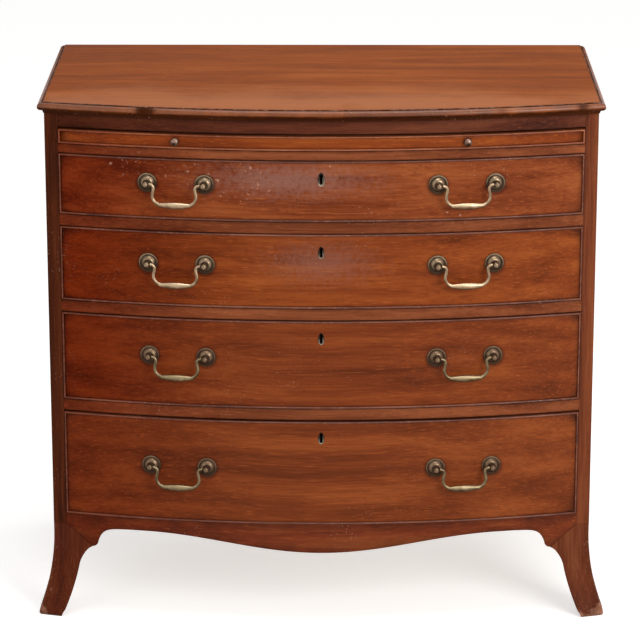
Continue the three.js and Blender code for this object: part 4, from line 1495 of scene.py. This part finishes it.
@dataclass
class Handle:
    """A swan-neck handle: two turned posts on round dished plates, and a bail between them."""

    bail_finish: OldMetal
    plate_finish: OldMetal
    span: float = 97.0
    plate_radius: float = 16.5
    neck_radius: float = 3.7
    head_radius: float = 5.2
    head_reach: float = 14.8
    hole_radius: float = 2.6
    hole_depth: float = 4.0
    shank_radius: float = 2.6
    wire_radius: float = 2.75
    grip_radius: float = 6.1
    pin_radius: float = 1.7
    bail_inset: float = 13.6
    bail_drop: float = 34.5
    grip_reach: float = 36.0
    neck: tuple[Pair, ...] = (
        (0.43, 0.0), (0.55, 0.0), (0.8, 0.03), (1.0, 0.14), (0.985, 0.3),
        (0.88, 0.48), (0.9, 0.67), (1.14, 0.84), (1.54, 0.955), (2.1, 1.0),
    )  # shares of the bail's inset and drop
    ball_steps: int = 18
    ball_sides: int = 28

    @property
    def step(self) -> float:
        """Half the angle between the two posts, seen from the bow's centre."""
        return self.span / 2 / PLAN.radius

    @property
    def pivot_half(self) -> float:
        """Half the length of the bail's pivot line."""
        return (PLAN.radius + self.head_reach) * math.sin(self.step)

    @property
    def pivot_proud(self) -> float:
        """How far the pivot line's middle stands out of the front."""
        return (PLAN.radius + self.head_reach) * math.cos(self.step) - PLAN.radius

    def post(self) -> Shell:
        """Nut, shank, plate and neck as one turning: radius, reach and brightness by rows.

        The plate has a thin rim, a dished hollow and a raised dome round the neck.

        Returns:
            The closed shell, standing on the front.
        """
        plate, neck, shank = self.plate_radius, self.neck_radius, self.shank_radius
        behind = -PLAN.front_thickness - 0.3
        rows = [
            (0.8, behind - 4.0, 0.1), (5.6, behind - 4.0, 0.2), (6.5, behind - 3.2, 0.3),
            (6.5, behind - 0.6, 0.1), (5.8, behind, 0.0), (shank, behind, -0.3),
            (shank, 0.3, -0.3), (plate - 0.5, 0.3, -0.4), (plate, 0.8, -0.1),
            (plate - 0.3, 1.5, 0.1), (plate - 1.4, 1.75, 0.2), (plate - 2.6, 1.5, -0.1),
            (plate - 3.5, 1.25, -0.35), (plate - 4.4, 1.6, -0.3), (plate - 5.4, 2.6, 0.1),
            (plate - 6.5, 3.9, 0.35), (plate - 7.9, 5.2, 0.35), (plate - 9.6, 5.95, 0.1),
            (plate - 10.8, 6.15, -0.3), (neck + 0.9, 6.3, -0.5), (neck - 0.3, 7.4, -0.4),
            (neck - 0.5, 8.9, 0.0), (neck, 10.2, 0.1), (neck - 1.1, 11.2, 0.0), (0.8, 11.4, 0.0),
        ]
        # Painted light: the upper half of the post and plate is drawn brighter
        return turned(rows, 40, 0.34)

    def head(self, end: int) -> Shell:
        """The ball, turned about the pivot line, with a blind hole for the bail's pin.

        Args:
            end: -1 for the left post and 1 for the right.

        Returns:
            The shell, its hole towards the handle's middle.
        """
        ball, hole = self.head_radius, self.hole_radius
        meet = math.asin(hole / ball)
        swing = np.linspace(meet, np.pi - 0.12, self.ball_steps)
        bottom = self.hole_depth - ball * math.cos(meet)
        radius = np.concatenate([[0.5, hole], ball * np.sin(swing)])[:, None]
        along = np.concatenate([[bottom, bottom], -ball * np.cos(swing)])[:, None]
        angle = np.linspace(0, 2 * np.pi, self.ball_sides, endpoint=False)
        out, up = radius * np.cos(angle), radius * np.sin(angle)
        shell = Shell.tube(np.stack([end * along + 0 * out, out, up], axis=-1))
        worn = [-0.5, -0.5, *self.ball_steps * [0.45]]
        return shell.marked("worn", np.repeat(worn, self.ball_sides))

    def bail(self) -> Shell:
        """The bail: a tube along a smooth curve through named shares of its inset and drop.

        The curve is a chain of cubics, each with the slope that its neighbours give, and the
        tube swells to the grip by a squared sine.

        Returns:
            The closed tube, brightest on the grip, with its pivot line on the X axis.
        """
        inset, drop = np.array(self.neck).T
        left = [-self.pivot_half + inset * self.bail_inset, -drop * self.bail_drop]
        left = np.stack(left, axis=1)
        knots = np.concatenate([left, left[::-1] * np.array([-1, 1])])
        path = smooth(knots, 8 * (len(knots) - 1) + 1)
        tangent = np.gradient(path, axis=0)
        tangent /= np.linalg.norm(tangent, axis=1, keepdims=True)
        aside = np.abs(path[:, 0])
        low = path[:, 1] < -self.bail_drop / 2
        near = np.clip(1 - aside / self.grip_reach, 0, None)
        swell = np.where(low, np.sin(near * np.pi / 2) ** 1.6, 0)
        wire = self.wire_radius + (self.grip_radius - self.wire_radius) * swell
        shoulder = ramp(self.pivot_half - aside - self.head_radius, 0.3, 1)
        pin = self.pin_radius + (wire - self.pin_radius) * shoulder
        radius = np.where(low, wire, pin)[:, None]
        angle = np.linspace(0, 2 * np.pi, 18, endpoint=False)
        sideways, level = radius * np.cos(angle), tangent[:, :1]
        x, z = path[:, :1] - tangent[:, 1:] * sideways, path[:, 1:] + level * sideways
        grip = 0.12 * np.clip(swell * 1.6, 0, 1)[:, None]
        # Painted light: brighter on the upper side of level stretches, as if lit from above, and
        # duller right in front and behind
        worn = 0.22 + 0.55 * np.cos(angle) * level - 0.12 * np.sin(angle) ** 8 + grip
        return Shell.tube(np.stack([x, radius * np.sin(angle), z], axis=-1)).marked("worn", worn)

    def build(self, shop: Workshop, drawer: str, side: int, height: float) -> None:
        """Makes both posts and the bail of one handle.

        Args:
            shop: Where they are put together.
            drawer: The drawer's body.
            side: -1 for the left handle and 1 for the right.
            height: The height of the posts.
        """
        middle = side * PLAN.handle_place
        body = f"{drawer}_{'left' if side < 0 else 'right'}"
        turn, place = PLAN.on_bow(middle, self.pivot_proud, height)
        for end, hand in ((-1, "left"), (1, "right")):
            across = PLAN.radius * math.sin(math.asin(middle / PLAN.radius) + end * self.step)
            _, centre = PLAN.on_bow(across, self.head_reach, height)
            post = self.post().moved(*PLAN.on_bow(across, 0.0, height))
            shell = Shell.joined(post, self.head(end).moved(turn, centre))
            node, finish = f"{body}_handle_{hand}_post", self.plate_finish
            shop.piece(f"{node}_and_plate", shell, finish, drawer, "plate_brass", [node])
        node, shell = f"{body}_handle_bail", self.bail().moved(turn, place)
        name, body = f"{node}_swan_neck", f"{body}_bail"
        shop.piece(name, shell, self.bail_finish, body, "bail_brass", [node])


@dataclass
class Drawer:
    """One drawer: solid front, sides, back and bottom, a veneered and beaded face, its lock,
    keyhole and two handles."""

    number: int
    face_finish: Mahogany
    bead_finish: Mahogany
    core_finish: Mahogany
    side_finish: DryWood
    across_finish: DryWood
    lock_finish: OldMetal
    thread_finish: OldMetal
    handle: Handle
    keyhole_drop: float = 32.0
    veneer_thickness: float = 0.9
    # Boxes of the lock: lowest corner from the edge where the front's back meets its top, size,
    # and what is taken off their edges
    lock_boxes: tuple[tuple[Triple, Triple, float], ...] = (
        ((-27.0, -1.0, -40.0), (54.0, 6.5, 36.0), 1.2),  # case
        ((-34.0, -1.0, -44.0), (68.0, 2.4, 43.4), 0.5),  # filed plate
        ((-34.0, -11.0, -0.9), (68.0, 12.4, 1.1), 0.25),  # selvedge
    )
    screw_places: tuple[Triple, ...] = (
        (-30.5, 0.2, -8.0), (30.5, 0.2, -8.0), (-30.5, 0.2, -39.0), (30.5, 0.2, -39.0)
    )
    screw: tuple[Triple, ...] = (
        (0.4, -2.2, 0.5), (2.2, -2.2, 0.5), (2.9, -1.7, 0.3), (3.0, 0.5, 0.0), (0.4, 0.5, 0.0)
    )  # radius, reach and brightness by rows

    def lock(self, top: float) -> Shell:
        """The lock: a filed plate and case let into the back of the front, four screws, and the
        selvedge on the front's top edge, all but the screws as eased boxes.

        Args:
            top: The top of the front.

        Returns:
            The parts as one shell.
        """
        edge = np.array([0.0, PLAN.face_y(0.0, PLAN.front_thickness), top])
        parts = [eased_box(edge + corner, size, ease) for corner, size, ease in self.lock_boxes]
        screw = turned(self.screw, 16)
        parts += [screw.moved(np.eye(3), edge + place) for place in self.screw_places]
        return Shell.joined(*parts)

    def build(self, shop: Workshop) -> None:
        """Makes the drawer's face, bead, keyhole, lock and handles, and dresses its solids.

        Args:
            shop: Where they are put together.
        """
        name, floor = f"drawer_{self.number}", PLAN.floors[self.number - 1]
        ceiling = floor + PLAN.openings[self.number - 1]
        high = ceiling - PLAN.head_gaps[self.number - 1]
        face = BeadedFace(floor + PLAN.running_gap, high)
        keyhole = Keyhole(ceiling - self.keyhole_drop)
        if self.number == 1:
            keyhole = replace(keyhole, ring_half=(6.3, 12.0), ring_width=2.3)
        wood, brass = (name, "mahogany_front"), (name, "plate_brass")
        veneer, thin = face.veneer(keyhole), self.veneer_thickness
        shop.piece(f"{name}_veneer", veneer, self.face_finish, *wood, sheet=thin)
        shop.piece(f"{name}_cockbead", face.bead(), self.bead_finish, *wood)
        shop.piece(f"{name}_keyhole_thread", keyhole.escutcheon(), self.thread_finish, *brass)
        shop.piece(f"{name}_lock", self.lock(high), self.lock_finish, *brass)
        shop.dress(f"{name}_front", self.core_finish)
        for part in ("side_left", "side_right"):
            shop.dress(f"{name}_{part}", self.side_finish)
        for part in ("back", "bottom"):
            shop.dress(f"{name}_{part}", self.across_finish)
        for side in (-1, 1):
            self.handle.build(shop, name, side, PLAN.handle_height(self.number))


@dataclass
class BrushingSlide:
    """The brushing slide: a board with a beaded bowed edge and two small turned knobs."""

    face_finish: Mahogany
    bead_finish: Mahogany
    board_finish: Mahogany
    knob_finish: OldMetal
    clearance: float = 55.0
    margin: float = 3.0
    veneer_thickness: float = 0.9
    steps: int = 72

    def board(self, low: float, high: float) -> Shell:
        """The board: a rectangle of y and z carried along the bow.

        Args:
            low: Its underside.
            high: Its top.

        Returns:
            The closed shell.
        """
        x = np.linspace(-PLAN.drawer_half, PLAN.drawer_half, self.steps)
        near, far = PLAN.face_y(x, 0.1), PLAN.panel_y - self.clearance
        return Shell.carried(x, [(near, low), (far, low), (far, high), (near, high)])

    def edge(self, face: BeadedFace) -> Shell:
        """The veneer on the board's edge, inside the bead.

        Args:
            face: The beaded face that it fills.

        Returns:
            The open sheet.
        """
        inset = self.margin
        half, low, high = PLAN.drawer_half - inset, face.low + inset, face.high - inset
        x = np.linspace(-half, half, self.steps)
        return face.faced(*np.meshgrid(x, np.linspace(low, high, face.rises)), half, low, high)

    def knob(self) -> Shell:
        """A knob: a thin base, a waist and a mushroom head, by rows of radius and reach.

        Returns:
            The closed shell, standing on the front.
        """
        rows = [
            (0.6, -6.0, 0.0), (3.4, -6.0, 0.0), (3.4, 0.2, -0.4), (5.2, 0.3, -0.2),
            (5.3, 0.9, 0.1), (4.3, 1.6, -0.3), (3.2, 3.0, -0.3), (3.0, 4.6, -0.2),
            (3.9, 5.9, 0.0), (5.6, 6.9, 0.2), (6.4, 8.1, 0.35), (6.2, 9.5, 0.35),
            (5.0, 10.8, 0.35), (3.2, 11.6, 0.3), (1.2, 12.0, 0.3), (0.4, 12.0, 0.3),
        ]
        # Painted light: the upper half of the knob is drawn brighter
        return turned(rows, 28, 0.4)

    def build(self, shop: Workshop) -> None:
        """Makes the board, its veneered edge, its bead and its knobs.

        Args:
            shop: Where they are put together.
        """
        low = PLAN.slide_floor + PLAN.running_gap
        high = PLAN.slide_floor + PLAN.slide_opening - PLAN.slide_head_gap
        face, node, slot = BeadedFace(low, high), "brushing_slide", "mahogany_front"
        board = self.board(low, high)
        shop.piece(f"{node}_board", board, self.board_finish, "slide", slot, [node])
        edge, thin = self.edge(face), self.veneer_thickness
        shop.piece(f"{node}_veneer", edge, self.face_finish, "slide", slot, sheet=thin)
        shop.piece(f"{node}_cockbead", face.bead(), self.bead_finish, "slide", slot)
        for side, word in ((-1, "left"), (1, "right")):
            turn, place = PLAN.on_bow(side * PLAN.handle_place, 0.0, (low + high) / 2)
            shell, finish = self.knob().moved(turn, place), self.knob_finish
            shop.piece(f"{node}_{word}_knob", shell, finish, "slide", "plate_brass")


@dataclass
class Carcase:
    """Sides, back and bottom, with the nails that hold the back boards."""

    side_finish: Mahogany
    back_finish: DryWood
    bottom_finish: DryWood
    nail_finish: OldMetal
    nail_radius: float = 3.2
    nail_heights: tuple[float, ...] = (182.0, 389.0, 566.0, 717.0, 880.0)
    rebate: float = 9.3
    boards: int = 4
    nail_shares: Pair = (0.2, 0.8)  # of a board's width

    def nails(self) -> Shell:
        """Rose-headed nails along the edges of the back boards, each a low faceted cone.

        Returns:
            The nails as one shell.
        """
        half, wide = PLAN.half - self.rebate, self.nail_radius
        rows = [(0.3, 0.9, 0.5), (wide / 2, 0.7, 0.3), (wide, 0.1, 0.0), (wide, -0.6, 0.0)]
        head, turn = turned([*rows, (0.3, -0.6, 0.0)], 8), np.diag([-1.0, -1.0, 1.0])
        made = []
        for board in range(self.boards):
            for share in self.nail_shares:
                x = -half + (board + share) * 2 * half / self.boards
                for z in self.nail_heights:
                    made.append(head.moved(turn, np.array([x, PLAN.back_y, z])))
        return Shell.joined(*made)

    def build(self, shop: Workshop) -> None:
        """Dresses the sides, the back and the bottom, and makes the nails.

        Args:
            shop: Where they are put together.
        """
        for word in ("left", "right"):
            shop.dress(f"side_{word}", self.side_finish)
        shop.dress("back_panel", self.back_finish)
        shop.dress("bottom_board", self.bottom_finish)
        shop.piece("back_nails", self.nails(), self.nail_finish, "carcase", "pine_back")


# Studio


@dataclass
class Studio:
    """Camera, floor, world and soft lights, in metres."""

    camera_at: Triple = (0.02544, -5.46037, 2.07717)
    pitch: float = 0.28553  # radians below the horizon
    yaw: float = 0.00527  # radians towards the left
    lens: float = 181.15
    sensor: float = 36.0
    clip: Pair = (0.05, 60.0)
    floor_x: Pair = (-14.0, 14.0)
    floor_y: Pair = (-12.0, 16.0)
    world: float = 0.42
    glow: float = 0.56
    target: Triple = (0.0, 0.0, 0.5)
    lamps: tuple[tuple[str, Triple, float, float], ...] = (
        ("key_right", (2.4, -3.4, 2.3), 2.0, 99.0),
        ("fill_left", (-3.0, -3.2, 1.6), 2.2, 16.0),
        ("top_soft", (0.2, -0.4, 3.6), 2.0, 42.0),
    )  # name, place, side and watts

    @staticmethod
    def hung(name: str, data: Any, at: Triple, ahead: Vector) -> bpy.types.Object:
        """Hangs a camera or a lamp.

        Args:
            name: Its name.
            data: The camera or lamp.
            at: Its place.
            ahead: The way it looks.

        Returns:
            The object.
        """
        made = bpy.data.objects.new(name, data)
        bpy.context.scene.collection.objects.link(made)
        made.location, made.rotation_mode = at, "QUATERNION"
        made.rotation_quaternion = ahead.to_track_quat("-Z", "Y")
        return made

    def camera(self) -> None:
        """A long lens from where the photograph's proportions are met best without any shift."""
        data = bpy.data.cameras.new("camera")
        data.lens, data.sensor_width = self.lens, self.sensor
        data.clip_start, data.clip_end = self.clip
        level, down = math.cos(self.pitch), -math.sin(self.pitch)
        ahead = Vector((-math.sin(self.yaw) * level, math.cos(self.yaw) * level, down))
        bpy.context.scene.camera = self.hung("camera", data, self.camera_at, ahead)

    @staticmethod
    def seen(add: Adder) -> Socket:
        """Whether a ray shows the background: from the camera, off gloss or through glass.

        Args:
            add: The node helper.

        Returns:
            One or zero.
        """
        ray = add("LightPath", out=None)
        either = add("Math MAXIMUM", ray["Is Camera Ray"], ray["Is Glossy Ray"])
        return add("Math MAXIMUM", either, ray["Is Transmission Ray"])

    def floor(self) -> None:
        """A plain pale floor, lifted to white where it is seen, that keeps the shadow."""
        mesh = bpy.data.meshes.new("floor")
        (left, right), (near, far) = self.floor_x, self.floor_y
        corners = [(left, near, 0), (right, near, 0), (right, far, 0), (left, far, 0)]
        mesh.from_pydata(corners, [], [[0, 1, 2, 3]])
        made = bpy.data.materials.new("matt_white_paper")
        add = emptied(made)
        paper = add("BsdfDiffuse", "#f4f3f1")
        lit = add("AddShader", paper, add("Emission", "#ffffff", self.glow))
        add("OutputMaterial", add("MixShader", self.seen(add), paper, lit), out=None)
        mesh.materials.append(made)
        floor = bpy.data.objects.new("floor", mesh)
        bpy.context.scene.collection.objects.link(floor)

    def build(self) -> None:
        """Makes the camera, the floor, the world and the square soft lights."""
        self.camera()
        self.floor()
        world = bpy.data.worlds.new("pale_room")
        add = emptied(world)
        soft, white = (add("Background", "#ffffff", power) for power in (self.world, 1.0))
        add("OutputWorld", add("MixShader", self.seen(add), soft, white), out=None)
        bpy.context.scene.world = world
        for name, at, size, power in self.lamps:
            data = bpy.data.lights.new(name, "AREA")
            data.shape, data.size, data.energy = "SQUARE", size, power
            self.hung(name, data, at, Vector(self.target) - Vector(at))


def main() -> None:
    """Builds the chest in order, then the studio."""
    logging.basicConfig(level=logging.INFO, format="%(name)s: %(message)s")
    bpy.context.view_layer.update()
    shop = Workshop()
    x, y, z = Grain

    oak_side = DryWood("oak_quartered_dry", y, "#8a6a42", "#a9875a", "#bd9c6e")
    oak_across = DryWood("oak_planed_dry", x, "#86663f", "#a48255", "#b8976a")
    block = DryWood("pine_glue_block", x, "#6b4e30", "#86663f", "#9a784c")
    pine = DryWood(
        "pine_sawn_darkened", z, "#5a3d26", "#7b5637", "#916b48", band=(600.0, 22.0), dust=0.4
    )
    # Where a left shade is given, the wood is drawn darker towards the left: painted shade.
    side = Mahogany(
        "mahogany_side_polished", z, "#48200f", "#6a3219", "#834526",
        shift=7.0, painted_shade_left=0.58, shade="#8c7a70",
    )
    foot = Mahogany(
        "mahogany_foot_worn", z, "#4a1e0d", "#5f2b14", "#764024",
        shift=5.0, painted_shade_left=0.3, flecks=1.0,
    )
    apron = Mahogany(
        "mahogany_apron_polished", x, "#582411", "#702f15", "#844220", shift=9.0, painted_shade_left=0.42
    )
    rail = Mahogany(
        "mahogany_rail_polished", x, "#5f2a11", "#7b3f22", "#92502f", shift=3.0, painted_shade_left=0.6
    )
    # Darker than the other rails: grime, and painted shadow under the top's overhang
    frieze = Mahogany(
        "mahogany_frieze_grimy_and_shaded", x, "#38160c", "#562716", "#6c3822",
        shift=13.0, painted_shade_left=0.6, shade="#8c6a50", flecks=0.15,
    )
    # On the top the bloom is a lighter band along the front: painted reflection in the polish.
    top = Mahogany(
        "mahogany_top_faded", x, "#693010", "#864113", "#9c5426",
        shift=11.0, figure=(430.0, 46.0), sway=38.0, streak=(300.0, 6.0),
        roughness=0.55, polish=0.02, flecks=0.3,
        bloom_and_reflection=0.6, bloom_and_reflection_at=(0.0, -220.0), bloom_and_reflection_size=(2400.0, 190.0),
        bloom_and_reflection_colour="#b7744d", bloom_and_reflection_grain=6.0, bloom_and_reflection_flat=True,
    )
    bead = Mahogany(
        "mahogany_bead_rubbed", x, "#4a2013", "#693521", "#87503a",
        roughness=0.4, polish=0.4, flecks=0.75, painted_shade_left=0.4,
    )
    slide_bead = Mahogany(
        "mahogany_slide_bead", x, "#6d3219", "#8d4a2b", "#a5603c", polish=0.3, painted_shade_left=0.4
    )
    # Its plate rings are a dark ring round each knob: dirt and painted shadow.
    slide_edge = Mahogany(
        "mahogany_slide_edge", x, "#6a2b0c", "#853c15", "#9c4f1c", shift=21.0, painted_shade_left=0.3,
        plates_at=PLAN.slide_floor + PLAN.slide_opening / 2, plate_pair=0.0, plate_radius=6.5,
    )
    board = Mahogany("mahogany_slide_board", x, "#6a3419", "#87482a", "#9c5c38", shift=22.0)
    core = Mahogany("mahogany_front_edge", x, "#4a2012", "#6a3420", "#84472c", roughness=0.55)
    colours = (
        ("#5f240a", "#823d1b", "#9a5228"),
        ("#5c2509", "#7f3914", "#964b1d"),
        ("#5a250c", "#763414", "#8d461d"),
        ("#5a260d", "#753515", "#8e471f"),
    )
    # Per drawer: painted shade to the left, and on the upper two a patch of wax bloom with painted
    # reflection
    wear_and_light = (
        {"shift": 31.0, "painted_shade_left": 0.7, "bloom_and_reflection": 0.62, "flecks": 0.8, "fleck_size": 5.5},
        {
            "shift": 47.0, "painted_shade_left": 0.72,
            "bloom_and_reflection": 0.35, "bloom_and_reflection_at": (0.0, 650.0), "bloom_and_reflection_size": (150.0, 60.0),
        },
        {"shift": 59.0, "painted_shade_left": 0.7, "flecks": 0.25},
        {"shift": 73.0, "painted_shade_left": 0.5, "flecks": 0.25, "figure": (520.0, 34.0)},
    )
    thread = OldMetal("brass_thread_dull", "#978a78", "#2a241e", 0.4)
    lock = OldMetal("brass_lock_filed", "#b39a62", "#7a6440", 0.38)
    knob = OldMetal("brass_knob_dark", "#8e7466", "#2c1c14", 0.3)
    nail = OldMetal("iron_nail_rusted", "#6a5c50", "#3a2a20", 0.6, metallic=0.8)
    rubbed = Handle(
        OldMetal("brass_cast_rubbed", "#d6ba98", "#5c4631", 0.32),
        OldMetal("brass_stamped_patinated", "#988167", "#382b20", 0.28),
    )
    dull = Handle(
        OldMetal("brass_cast_darkened", "#a3906f", "#3f2e1c", 0.36),
        OldMetal("brass_stamped_darkened", "#7e6751", "#3a2a1f", 0.33),
    )

    TopBoard(top).build(shop)
    Carcase(side, pine, oak_across, nail).build(shop)
    Rails(rail, frieze, oak_across).build(shop)
    Base(apron, foot, block).build(shop)
    BrushingSlide(slide_edge, slide_bead, board, knob).build(shop)
    for number, (hues, marks, handle) in enumerate(
        zip(colours, wear_and_light, (rubbed, rubbed, dull, dull)), start=1
    ):
        plates = PLAN.handle_height(number)
        face = Mahogany(f"mahogany_drawer_{number}", x, *hues, plates_at=plates, **marks)
        fittings = (oak_side, oak_across, lock, thread, handle)
        Drawer(number, face, bead, core, *fittings).build(shop)
    Studio().build()
    bpy.context.scene.view_settings.view_transform = "Standard"
    bpy.context.view_layer.update()


if __name__ == "__main__":
    main()
